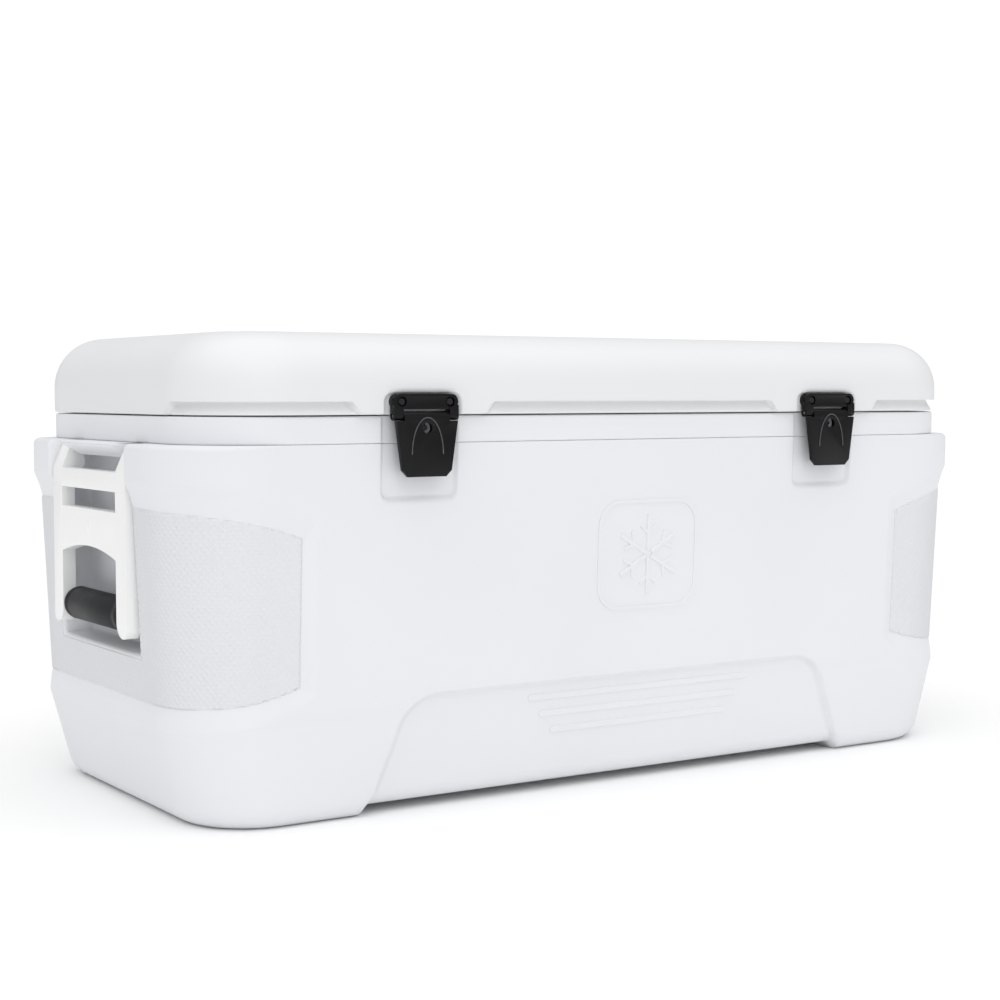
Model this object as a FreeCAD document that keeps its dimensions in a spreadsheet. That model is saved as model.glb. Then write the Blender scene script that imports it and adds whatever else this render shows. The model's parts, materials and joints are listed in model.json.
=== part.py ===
import FreeCAD
import Part
import Sketcher
import os
import re

# A cooler chest of about 113 litres: a foam-filled tub with a turned-over rim,
# a foam-filled lid on three rear hinges, two front latches, two swing-up end handles that
# hang in pockets, and a screw-cap drain at the low right end.
# Millimetres. +X runs along the length, -Y is the front, +Z is up, and the origin is the
# middle of the footprint on the floor.

doc = FreeCAD.newDocument("cooler_chest")

# ---------------------------------------------------------------- driving dimensions

SIZES = [
    ("overall_height", 450, "floor to the top of the lid"),
    ("shoulder_length", 976, "over the end shoulders"),
    ("shoulder_width", 438, "tub width at the shoulder"),
    ("shoulder_corner", 92, "plan corner radius at the shoulder"),
    ("shoulder_top", 346, "height of the shoulder's top deck"),
    ("shoulder_base", 304, "height where the shoulder's underside turns in"),
    ("shoulder_undercut", 16, "height of the sloped underside of the shoulder"),
    ("knee_height", 90, "height where the skirt begins to run in"),
    ("knee_length", 953, "tub length at the knee"),
    ("knee_width", 415, "tub width at the knee"),
    ("knee_corner", 80, "plan corner radius at the knee"),
    ("toe_height", 14, "height where the bottom edge rounds under"),
    ("toe_length", 916, "tub length at the toe"),
    ("toe_width", 402, "tub width at the toe"),
    ("toe_corner", 78, "plan corner radius at the toe"),
    ("floor_length", 892, "length of the footprint"),
    ("floor_width", 384, "width of the footprint"),
    ("floor_corner", 68, "corner radius of the footprint"),
    ("skid_inner", 299, "half distance between the two end skids"),
    ("skid_rise", 8, "how far the middle is raised between the skids"),
    ("shell_wall", 4, "wall of the outer shell and of the lid"),
    ("panel_depth", 4.5, "depth of the recessed end panels and front panel"),
    ("panel_inner", 360, "half distance between the end panels' front edges"),
    ("panel_base", 122, "height of the end panels' lower edge"),
    ("plate_half_foot", 287, "half width of the front panel at its foot"),
    ("plate_half_top", 243, "half width of the front panel at its head"),
    ("plate_top", 113, "height of the front panel's head"),
    ("plate_corner", 28, "radius of the front panel's upper corners"),
    ("rim_top", 371, "height of the tub's rim"),
    ("rim_length", 926, "length of the turned-over rim"),
    ("rim_width", 438, "width of the turned-over rim"),
    ("rim_corner", 88, "plan corner radius of the rim"),
    ("rim_skirt", 8, "wall of the rim's outer skirt"),
    ("rim_deck", 3, "thickness of the rim's top"),
    ("liner_wall", 3, "wall of the liner"),
    ("mouth_length", 872, "liner length inside, at the mouth"),
    ("mouth_width", 384, "liner width inside, at the mouth"),
    ("mouth_corner", 66, "liner corner radius at the mouth"),
    ("well_length", 852, "liner length inside, at its floor"),
    ("well_width", 356, "liner width inside, at its floor"),
    ("well_corner", 58, "liner corner radius at its floor"),
    ("well_floor", 30, "height of the liner's floor"),
    ("lid_gap", 1.2, "daylight between the rim and the lid"),
    ("lid_length", 926, "lid length"),
    ("lid_width", 449, "lid width"),
    ("lid_corner", 91, "lid plan corner radius"),
    ("lid_edge", 50, "radius of the lid's top edge"),
    ("lip_top", 384, "height of the finger slots' upper edge"),
    ("lip_depth", 11, "depth of the finger slots under the lid's edge"),
    ("lip_centre_half", 180, "half length of the middle finger slot"),
    ("lip_outer_start", 314, "where the corner finger slots begin"),
    ("lip_outer_end", 135, "how far from the middle the corner slots end on the ends"),
    ("plug_drop", 10, "how far the lid's inner pan reaches into the mouth"),
    ("plug_play", 5, "gap round the lid's inner pan"),
    ("latch_x", 248, "distance of each latch from the middle"),
    ("latch_seat_half", 40, "half width of the latch recess"),
    ("latch_seat_base", 293, "height of the latch recess's lower edge"),
    ("latch_seat_top", 393, "height of the latch recess's upper edge"),
    ("latch_seat_depth", 3.5, "depth of the latch recess"),
    ("latch_pin_height", 371, "height of the latch pin"),
    ("latch_pin_y", 226.8, "distance of the latch pin in front of the middle"),
    ("latch_pin_radius", 1.5, "latch pin radius"),
    ("latch_knuckle", 4.2, "latch knuckle radius"),
    ("latch_knuckle_half", 24, "half length of the lever's own knuckle"),
    ("latch_head_half", 32.5, "half width of the lever at its head"),
    ("latch_toe_half", 25, "half width of the lever at its toe"),
    ("latch_toe_height", 315.5, "height of the lever's toe"),
    ("latch_face", 232, "distance of the lever's face in front of the middle"),
    ("latch_plate", 4.5, "thickness of the lever"),
    ("latch_head_drop", 4.5, "how far the lever's wide head stays below the pin"),
    ("latch_toe_chamfer", 6, "size of the chamfers on the lever's toe"),
    ("latch_eye_height", 360, "height of the eye in the lever"),
    ("latch_eye_radius", 5, "radius of the eye in the lever"),
    ("base_half", 34, "half width of the latch base"),
    ("base_low", 377, "height of the latch base's lower edge"),
    ("base_high", 391, "height of the latch base's upper edge"),
    ("base_face", 230, "distance of the latch base's face in front of the middle"),
    ("base_screw_x", 25.5, "distance of the base screws from the latch's middle"),
    ("screw_radius", 2, "shank radius of the screws"),
    ("screw_head_radius", 4, "head radius of the screws"),
    ("screw_head", 2.4, "height of the screw heads"),
    ("screw_shank", 14, "length of the screws under the head"),
    ("screw_point", 3, "length of the screws' tapered points"),
    ("keeper_radius", 3.5, "radius of the latch keeper's head"),
    ("keeper_tip", 226.3, "distance of the keeper's tip in front of the middle"),
    ("hinge_y", 228.4, "distance of the hinge axis behind the middle"),
    ("hinge_height", 371.6, "height of the hinge axis"),
    ("hinge_knuckle", 3.6, "radius of the hinge knuckles"),
    ("hinge_pin_radius", 1.6, "radius of the hinge pins"),
    ("hinge_spacing", 300, "distance between neighbouring hinges"),
    ("hinge_half", 32, "half length of a hinge"),
    ("hinge_leaf", 2.5, "thickness of a hinge leaf"),
    ("hinge_leaf_low", 334, "lower edge of the lower leaf"),
    ("hinge_leaf_high", 402, "upper edge of the upper leaf"),
    ("hinge_screw_x", 20, "distance of the hinge screws from the hinge's middle"),
    ("hinge_screw_low", 343, "height of the lower leaf's screws"),
    ("hinge_screw_high", 393, "height of the upper leaf's screws"),
    ("knuckle_gap", 0.2, "side play of each hinge knuckle"),
    ("running_play", 0.05, "radial clearance of pins in their bores"),
    ("pocket_half", 97.5, "half width of the handle pocket"),
    ("pocket_base", 153, "height of the handle pocket's floor"),
    ("pocket_back", 445, "distance of the pocket's back from the middle"),
    ("pocket_roof", 332, "height of the pocket's roof behind the lip"),
    ("handle_half", 94, "half width of the handle"),
    ("handle_low", 167, "height of the arms' lower ends"),
    ("handle_high", 344, "height of the arms' upper ends"),
    ("handle_face", 485, "distance of the handle's face from the middle"),
    ("handle_plate", 13, "thickness of the handle"),
    ("handle_arm", 24, "width of each handle arm"),
    ("handle_bar_high", 319, "upper edge of the handle's top bar"),
    ("slot_high", 301, "upper edge of the tie-down slot"),
    ("slot_low", 282, "lower edge of the tie-down slot"),
    ("arch_spring", 238, "height where the finger arch begins"),
    ("arch_rise", 9, "rise of the finger arch"),
    ("pivot_x", 470, "distance of the handle's pivot from the middle"),
    ("pivot_height", 325, "height of the handle's pivot"),
    ("pivot_boss", 9, "radius of the boss round each pivot"),
    ("notch_play", 2, "gap between a handle arm and the lip beside it"),
    ("notch_back", 449, "distance of the arm notches' back from the middle"),
    ("notch_step", 340, "height where the arm notches get shallower"),
    ("notch_rim", 457.5, "distance of the notches' back under the rim"),
    ("lip_root", 468, "where the sloped underside of the lip begins"),
    ("handle_corner", 8, "radius of the handle's outer lower corners"),
    ("arm_corner", 15, "radius of the arms' lower corners beside the grip"),
    ("pivot_radius", 4, "radius of the handle's pivot pins"),
    ("pivot_bore", 16, "depth of the pin bores in the handle's arms"),
    ("grip_x", 470, "distance of the grip's axis from the middle"),
    ("grip_height", 186, "height of the grip's axis"),
    ("grip_radius", 16, "outer radius of the rubber grip"),
    ("grip_end", 5, "rounding of the grip's ends"),
    ("grip_core", 10, "radius of the bar inside the grip"),
    ("drain_y", 60, "distance of the drain behind the middle"),
    ("drain_height", 50, "height of the drain's axis"),
    ("drain_bore", 8.5, "radius of the drain's bore"),
    ("drain_tube", 12, "outer radius of the drain spout"),
    ("drain_seat", 458, "distance of the drain's seat from the middle"),
    ("drain_seat_radius", 28, "radius of the drain's recess"),
    ("drain_flange", 20, "radius of the spout's flange"),
    ("cap_radius", 22, "radius of the drain cap"),
    ("cap_end", 483, "distance of the cap's face from the middle"),
    ("cap_play", 0.4, "radial play of the cap over the spout"),
    ("cap_top", 6, "thickness of the cap's closed end with its seal"),
    ("cap_rib", 3, "radius of the grip ribs round the cap"),
    ("tool_reach", 510, "how far cutting tools reach past the ends"),
    ("tool_length", 100, "length of the round cutters"),
    ("cup_depth", 2.8, "depth of the screw cups in the latch base"),
    ("cup_play", 0.8, "gap round a screw head in its cup"),
    ("keeper_shank", 12, "length of the keeper's threaded end"),
    ("drain_reach", 60, "how far the drain hole runs inward from its seat"),
    ("undercut_lap", 1.4, "how far the undercut's cutter passes the shoulder's top"),
]

sheet = doc.addObject("Spreadsheet::Sheet", "Sizes")
for row, (alias, value, meaning) in enumerate(SIZES, start=1):
    sheet.set(f"A{row}", meaning)
    sheet.set(f"B{row}", str(value))
    sheet.setAlias(f"B{row}", alias)
doc.recompute()

ALIASES = {alias for alias, _, _ in SIZES}
NODES = {}
LEFT = -1
RIGHT = 1
SIDES = ((LEFT, "left"), (RIGHT, "right"))


# ---------------------------------------------------------------- helpers

def formula(text):
    """Point every alias in a formula at the sheet."""
    return re.sub(r"[a-z]+(_[a-z]+)+",
                  lambda word: f"Sizes.{word.group()}" if word.group() in ALIASES
                  else word.group(), str(text))


def bind(thing, **formulas):
    """Bind properties to the sheet; a double underscore stands for a dot."""
    for name, text in formulas.items():
        thing.setExpression(name.replace("__", "."), formula(text))
    return thing


def place(thing, x=0, y=0, z=0):
    return bind(thing, Placement__Base__x=x, Placement__Base__y=y, Placement__Base__z=z)


def node(thing, name):
    """Make a shape one of the finished sub-parts."""
    thing.Label = name
    NODES[name] = thing
    return thing


def block(name, x_low, x_high, y_low, y_high, z_low, z_high):
    thing = doc.addObject("Part::Box", name)
    bind(thing, Length=f"({x_high}) - ({x_low})", Width=f"({y_high}) - ({y_low})",
         Height=f"({z_high}) - ({z_low})")
    return place(thing, x_low, y_low, z_low)


TURN = {"x": FreeCAD.Rotation(FreeCAD.Vector(0, 1, 0), 90),
        "y": FreeCAD.Rotation(FreeCAD.Vector(1, 0, 0), -90),
        "z": FreeCAD.Rotation()}


def rod(name, radius, length, along, x=0, y=0, z=0):
    """A cylinder that starts at a point and runs along a positive axis."""
    thing = doc.addObject("Part::Cylinder", name)
    thing.Placement = FreeCAD.Placement(FreeCAD.Vector(), TURN[along])
    bind(thing, Radius=radius, Height=length)
    return place(thing, x, y, z)


def fuse(name, *shapes):
    thing = doc.addObject("Part::MultiFuse", name)
    thing.Shapes = list(shapes)
    return thing


def common(name, *shapes):
    thing = doc.addObject("Part::MultiCommon", name)
    thing.Shapes = list(shapes)
    return thing


def cut(name, base, *tools):
    thing = doc.addObject("Part::Cut", name)
    thing.Base = base
    thing.Tool = tools[0] if len(tools) == 1 else fuse(name + "_tools", *tools)
    return thing


def group(name, *shapes):
    thing = doc.addObject("Part::Compound", name)
    thing.Links = list(shapes)
    return thing


def new_body(name):
    return doc.addObject("PartDesign::Body", name)


def new_sketch(body, name, role, offset=0):
    """A sketch on one of the body's own planes, moved along the plane's normal."""
    plane = next(p for p in body.Origin.OriginFeatures if p.Role == role)
    sketch = body.newObject("Sketcher::SketchObject", name)
    sketch.AttachmentSupport = [(plane, "")]
    sketch.MapMode = "FlatFace"
    return bind(sketch, AttachmentOffset__Base__z=offset)


def dimension(sketch, text, *constraint):
    """Add a driving constraint whose value comes from the sheet."""
    index = sketch.addConstraint(Sketcher.Constraint(*constraint))
    label = f"size{index}"
    sketch.renameConstraint(index, label)
    sketch.setExpression(f"Constraints.{label}", formula(text))


def rounded_rectangle(body, name, length, width, corner, offset=0):
    """A centred rectangle with round corners on the body's horizontal plane."""
    sketch = new_sketch(body, name, "XY_Plane", offset)
    half_x, half_y, radius = 100.0, 60.0, 20.0
    quarter = 1.5707963267948966
    signs = ((1, 1), (-1, 1), (-1, -1), (1, -1))
    corners = [FreeCAD.Vector(sx * (half_x - radius), sy * (half_y - radius), 0)
               for sx, sy in signs]
    arcs = [Part.ArcOfCircle(Part.Circle(middle, FreeCAD.Vector(0, 0, 1), radius),
                             turn * quarter, (turn + 1) * quarter)
            for turn, middle in enumerate(corners)]
    for turn, arc in enumerate(arcs):
        sketch.addGeometry(arc, False)
        sketch.addGeometry(Part.LineSegment(arc.EndPoint, arcs[(turn + 1) % 4].StartPoint), False)
    for index in range(8):
        sketch.addConstraint(Sketcher.Constraint("Tangent", index, 2, (index + 1) % 8, 1))
    for kind, line in (("Horizontal", 1), ("Vertical", 3), ("Horizontal", 5), ("Vertical", 7)):
        sketch.addConstraint(Sketcher.Constraint(kind, line))
    for arc in (2, 4, 6):
        sketch.addConstraint(Sketcher.Constraint("Equal", 0, arc))
    sketch.addConstraint(Sketcher.Constraint("Symmetric", 0, 3, 4, 3, -1, 1))
    dimension(sketch, length, "DistanceX", 3, 1, 7, 1, 2 * half_x)
    dimension(sketch, width, "DistanceY", 5, 1, 1, 1, 2 * half_y)
    dimension(sketch, corner, "Radius", 0, radius)
    return sketch


def polygon(body, name, role, corners, offset=0):
    """A closed outline whose every corner is placed from the sheet."""
    sketch = new_sketch(body, name, role, offset)
    points = [FreeCAD.Vector(evaluate(across), evaluate(up), 0) for across, up in corners]
    count = len(points)
    for index, point in enumerate(points):
        sketch.addGeometry(Part.LineSegment(point, points[(index + 1) % count]), False)
    for index in range(count):
        sketch.addConstraint(Sketcher.Constraint("Coincident", index, 2, (index + 1) % count, 1))
    for index, (across, up) in enumerate(corners):
        dimension(sketch, across, "DistanceX", -1, 1, index, 1, points[index].x)
        dimension(sketch, up, "DistanceY", -1, 1, index, 1, points[index].y)
    return sketch


def evaluate(text):
    """The present value of a formula, used only to draw a first outline."""
    return float(sheet.evalExpression(formula(text).replace("Sizes.", "")))


def pad(body, sketch, length, midplane=False, backwards=False):
    feature = body.newObject("PartDesign::Pad", sketch.Name + "_pad")
    feature.Profile = sketch
    feature.Midplane = midplane
    feature.Reversed = backwards
    bind(feature, Length=length)
    return feature


def revolve(body, sketch, axis="V_Axis"):
    feature = body.newObject("PartDesign::Revolution", sketch.Name + "_turned")
    feature.Profile = sketch
    feature.ReferenceAxis = (sketch, [axis])
    feature.Angle = 360
    return feature


def loft(name, sections):
    """A body through rounded rectangles, each (length, width, corner, height)."""
    body = new_body(name)
    sketches = [rounded_rectangle(body, f"{name}_{level}", *section)
                for level, section in enumerate(sections)]
    feature = body.newObject("PartDesign::AdditiveLoft", name + "_loft")
    feature.Profile = sketches[0]
    feature.Sections = sketches[1:]
    feature.Ruled = True
    return body


def slab(name, length, width, corner, low, high):
    """A body that is one padded rounded rectangle."""
    body = new_body(name)
    sketch = rounded_rectangle(body, name + "_outline", length, width, corner, low)
    pad(body, sketch, f"({high}) - ({low})")
    return body


def round_edges(body, name, radius, wanted):
    """Fillet the edges of the body's last feature that a test picks."""
    doc.recompute()
    base = body.Tip
    edges = [f"Edge{index}" for index, edge in enumerate(base.Shape.Edges, start=1)
             if wanted(edge)]
    feature = body.newObject("PartDesign::Fillet", name)
    feature.Base = (base, edges)
    bind(feature, Radius=radius)
    return feature


def tub_form(name, inset, low=None, high="shoulder_top"):
    """The tub's outer form, or the same form set in by a wall."""
    inner = f" - 2 * ({inset})"
    levels = [("toe", "toe_height"), ("knee", "knee_height"), ("shoulder", high)]
    if low is None:
        levels.insert(0, ("floor", "0"))
    else:
        levels[0] = ("toe", low)
    return loft(name, [(f"{level}_length{inner}", f"{level}_width{inner}",
                        f"{level}_corner - ({inset})", height) for level, height in levels])


# ---------------------------------------------------------------- tub: outer shell

def end_region(name, side, grow):
    """The part of an end that its recessed panel covers."""
    low, high = sorted((f"{side} * (panel_inner - {grow})", f"{side} * (shoulder_length)"),
                       key=evaluate)
    return block(name, low, high, "-shoulder_width", "shoulder_width",
                 f"panel_base - {grow}", f"shoulder_base - shoulder_undercut / 2 + {grow}")


def pocket_shape(name, side, grow):
    """The handle pocket of one end, or the jacket of wall round it."""
    near, far = sorted((f"{side} * (pocket_back - {grow})", f"{side} * tool_reach"),
                       key=evaluate)
    return block(name, near, far, f"-pocket_half - {grow}", f"pocket_half + {grow}",
                 f"pocket_base - {grow}", "shoulder_top" if grow else "pocket_roof")


def arm_notch(name, side, hand, back, low, high):
    """A step of the open-topped notch in which one arm of a handle swings."""
    x_low, x_high = sorted((f"{side} * {back}", f"{side} * tool_reach"), key=evaluate)
    y_low, y_high = sorted((f"{hand} * (handle_half - handle_arm - notch_play)",
                            f"{hand} * pocket_half"), key=evaluate)
    return block(name, x_low, x_high, y_low, y_high, low, high)


def lip_slope(name, side):
    """The sloped underside of the lip between the two arm notches."""
    body = new_body(name)
    sketch = polygon(body, name + "_outline", "XZ_Plane",
                     [(f"{side} * lip_root", "pocket_roof - 1"),
                      (f"{side} * lip_root", "pocket_roof"),
                      (f"{side} * (shoulder_length / 2 + 2)", "shoulder_top + undercut_lap"),
                      (f"{side} * tool_reach", "shoulder_top + undercut_lap"),
                      (f"{side} * tool_reach", "pocket_roof - 1")])
    pad(body, sketch, "2 * (handle_half - handle_arm - notch_play)", midplane=True)
    return body


def latch_seat(name, side, grow, low, high, face):
    """The shallow recess behind a latch, or its jacket."""
    return block(name, f"{side} * latch_x - latch_seat_half - {grow}",
                 f"{side} * latch_x + latch_seat_half + {grow}",
                 f"-({face}) - 20", f"-({face}) + {grow}", low, high)


def make_tub():
    outer = tub_form("tub_outer", 0)
    hollow = tub_form("tub_hollow", "shell_wall", "skid_rise + shell_wall",
                      "shoulder_top - shell_wall")
    panel_core = tub_form("panel_core", "panel_depth", "2")
    panel_wall = tub_form("panel_wall", "panel_depth + shell_wall", "2")
    mouth = slab("tub_mouth", "rim_length - 2 * rim_skirt", "rim_width - 2 * rim_skirt",
                 "rim_corner - rim_skirt", "shoulder_top - shell_wall - 1", "rim_top - rim_deck")

    recesses = []
    jackets = []
    for side, word in SIDES:
        recesses.append(cut(f"panel_recess_{word}", end_region(f"panel_{word}", side, 0),
                            panel_core))
        jackets.append(cut(f"panel_jacket_{word}",
                           end_region(f"panel_grown_{word}", side, "shell_wall"), panel_wall))
        recesses.append(pocket_shape(f"pocket_{word}", side, 0))
        jackets.append(pocket_shape(f"pocket_jacket_{word}", side, "shell_wall"))
        recesses.append(lip_slope(f"lip_slope_{word}", side))
        for hand, name in ((-1, "front"), (1, "back")):
            recesses.append(arm_notch(f"arm_notch_{word}_{name}", side, hand, "notch_back",
                                      "pocket_roof - 1", "notch_step"))
            recesses.append(arm_notch(f"arm_notch_top_{word}_{name}", side, hand, "notch_rim",
                                      "notch_step - 1", "shoulder_top + 1"))
        recesses.append(latch_seat(f"latch_seat_{word}", side, 0, "latch_seat_base",
                                   "rim_top + 1", "shoulder_width / 2 - latch_seat_depth"))
        jackets.append(latch_seat(f"latch_jacket_{word}", side, "shell_wall",
                                  "latch_seat_base - shell_wall", "shoulder_top",
                                  "shoulder_width / 2 - latch_seat_depth"))

    # The front panel: a shallow trapezium with the raised middle of the base under it.
    plate = new_body("front_plate")
    sketch = polygon(plate, "front_plate_outline", "XZ_Plane",
                     [("-plate_half_foot", "-1"), ("plate_half_foot", "-1"),
                      ("plate_half_top", "plate_top"), ("-plate_half_top", "plate_top")],
                     "shoulder_width / 4")
    pad(plate, sketch, "shoulder_width / 4 + 5")
    round_edges(plate, "front_plate_corners", "plate_corner",
                lambda edge: abs(edge.tangentAt(edge.FirstParameter).y) > 0.9
                and edge.CenterOfMass.z > 50)
    recesses.append(cut("front_recess", plate, panel_core))
    jackets.append(cut("front_jacket",
                       block("front_grown", "-plate_half_foot - shell_wall",
                             "plate_half_foot + shell_wall", "-shoulder_width", "0", "0",
                             "plate_top + shell_wall"), panel_wall))
    recesses.append(block("skid_gap", "-skid_inner", "skid_inner", "-shoulder_width",
                          "shoulder_width", "-5", "skid_rise"))

    drain_recess = rod("drain_recess", "drain_seat_radius", "tool_length", "x",
                       "drain_seat", "drain_y", "drain_height")
    drain_jacket = rod("drain_jacket", "drain_seat_radius + shell_wall", "tool_length", "x",
                       "drain_seat - shell_wall", "drain_y", "drain_height")
    drain_hole = rod("drain_hole", "drain_tube", "tool_length", "x",
                     "drain_seat - drain_reach", "drain_y", "drain_height")
    recesses.append(drain_recess)
    jackets.append(drain_jacket)

    pin_holes = [rod(f"pivot_hole_{word}", "pivot_radius", "2 * (pocket_half + 4)", "y",
                     f"{side} * pivot_x", "-pocket_half - 4", "pivot_height")
                 for side, word in SIDES]
    inside = cut("tub_inside", hollow, *jackets)
    node(cut("tub_shell_cut", outer, inside, mouth, drain_hole, *recesses, *pin_holes),
         "tub_shell")

    # The liner: a drafted well whose rim turns over the top of the shell.
    well_outer = loft("liner_outer", [
        ("well_length + 2 * liner_wall", "well_width + 2 * liner_wall",
         "well_corner + liner_wall", "well_floor - liner_wall"),
        ("mouth_length + 2 * liner_wall", "mouth_width + 2 * liner_wall",
         "mouth_corner + liner_wall", "rim_top")])
    well = loft("liner_well", [
        ("well_length", "well_width", "well_corner", "well_floor"),
        ("mouth_length + 1", "mouth_width + 1", "mouth_corner", "rim_top + 12")])
    rim = slab("rim_block", "rim_length", "rim_width", "rim_corner", "shoulder_top", "rim_top")
    rim_hollow = slab("rim_hollow", "rim_length - 2 * rim_skirt", "rim_width - 2 * rim_skirt",
                      "rim_corner - rim_skirt", "shoulder_top - 1", "rim_top - rim_deck")
    seats = [latch_seat(f"rim_seat_{word}", side, 0, "latch_seat_base", "rim_top + 1",
                        "rim_width / 2 - latch_seat_depth") for side, word in SIDES]
    rim_ring = cut("rim_ring", rim, rim_hollow)
    node(cut("tub_liner_cut", fuse("liner_blank", rim_ring, well_outer), well, drain_hole,
             *seats), "tub_liner")

    # Foam fills everything between shell and liner.
    foam = fuse("foam_blank", inside, mouth)
    node(cut("tub_foam_cut", foam, well_outer, drain_hole), "tub_foam")


# ---------------------------------------------------------------- lid

def lid_form(name, inset, low, high, edge):
    body = slab(name, f"lid_length - 2 * ({inset})", f"lid_width - 2 * ({inset})",
                f"lid_corner - ({inset})", low, high)
    if edge:
        top = evaluate(high)
        round_edges(body, name + "_edge", edge,
                    lambda line: abs(line.BoundBox.ZMin - top) < 0.01
                    and abs(line.BoundBox.ZMax - top) < 0.01)
    return body


def finger_regions(name, grow):
    """Where the finger slots run along the lid's lower front edge and round its corners."""
    shapes = [block(f"{name}_centre", f"-lip_centre_half - {grow}", f"lip_centre_half + {grow}",
                    "-lid_width", "-lid_width / 4", "rim_top", f"lip_top + {grow}")]
    for side, word in SIDES:
        near, far = sorted((f"{side} * (lip_outer_start - {grow})", f"{side} * lid_length"),
                           key=evaluate)
        shapes.append(block(f"{name}_{word}", near, far, "-lid_width",
                            f"-lip_outer_end + {grow}", "rim_top", f"lip_top + {grow}"))
    return shapes


def make_lid():
    underside = "rim_top + lid_gap"
    outer = lid_form("lid_outer", 0, underside, "overall_height", "lid_edge")
    hollow = lid_form("lid_hollow", "shell_wall", f"{underside} - 1",
                      "overall_height - shell_wall", "lid_edge - shell_wall")
    slot_core = lid_form("slot_core", "lip_depth", "rim_top - 1", "overall_height", None)
    slot_wall = lid_form("slot_wall", "lip_depth + shell_wall", "rim_top - 1",
                         "overall_height", None)
    slots = cut("finger_slots", fuse("finger_regions", *finger_regions("finger", 0)), slot_core)
    slot_jacket = cut("finger_jackets",
                      fuse("finger_grown", *finger_regions("finger_grown", "shell_wall")),
                      slot_wall)
    seats = [latch_seat(f"lid_seat_{word}", side, 0, "rim_top", "latch_seat_top",
                        "lid_width / 2 - latch_seat_depth - 1") for side, word in SIDES]
    seat_jackets = [latch_seat(f"lid_seat_jacket_{word}", side, "shell_wall", "rim_top",
                               "latch_seat_top + shell_wall",
                               "lid_width / 2 - latch_seat_depth - 1") for side, word in SIDES]
    inside = cut("lid_inside", hollow, slot_jacket, *seat_jackets)
    node(cut("lid_shell_cut", outer, inside, slots, *seats), "lid_shell")

    # The lid's inner pan closes the shell and drops a little way into the mouth.
    flange = lid_form("pan_flange", "shell_wall", underside, f"{underside} + liner_wall", None)
    plug = slab("pan_plug", "mouth_length - 2 * plug_play", "mouth_width - 2 * plug_play",
                "mouth_corner - plug_play", "rim_top - plug_drop", f"{underside} + 1")
    plug_hollow = slab("pan_hollow", "mouth_length - 2 * plug_play - 2 * liner_wall",
                       "mouth_width - 2 * plug_play - 2 * liner_wall",
                       "mouth_corner - plug_play - liner_wall",
                       "rim_top - plug_drop + liner_wall", "rim_top + 10")
    node(cut("lid_liner_cut", fuse("pan_blank", cut("pan_rim", flange, slot_jacket,
                                                    *seat_jackets), plug), plug_hollow),
         "lid_liner")
    core = cut("lid_core", inside, block("core_trim", -600, 600, -400, 400, 300,
                                         f"{underside} + liner_wall"))
    fill = common("plug_fill", plug_hollow, block("fill_trim", -600, 600, -400, 400, 300,
                                                  f"{underside} + liner_wall"))
    node(fuse("lid_foam_fuse", core, fill), "lid_foam")


# ---------------------------------------------------------------- latches

def screw(name, direction, x, y, z):
    """A pan-head screw whose head faces front (-1) or back (1)."""
    head = new_body(name)
    sketch = polygon(head, name + "_profile", "XZ_Plane",
                     [("screw_radius / 3", "-screw_shank"),
                      ("screw_radius", "screw_point - screw_shank"),
                      ("screw_radius", "0"), ("screw_head_radius", "0"),
                      ("screw_head_radius", "screw_head / 2"),
                      ("screw_head_radius - screw_head / 2", "screw_head"),
                      ("0", "screw_head"), ("0", "-screw_shank")])
    revolve(head, sketch)
    head.Placement = FreeCAD.Placement(
        FreeCAD.Vector(), FreeCAD.Rotation(FreeCAD.Vector(1, 0, 0), -90 * direction))
    return place(head, x, y, z)


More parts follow.
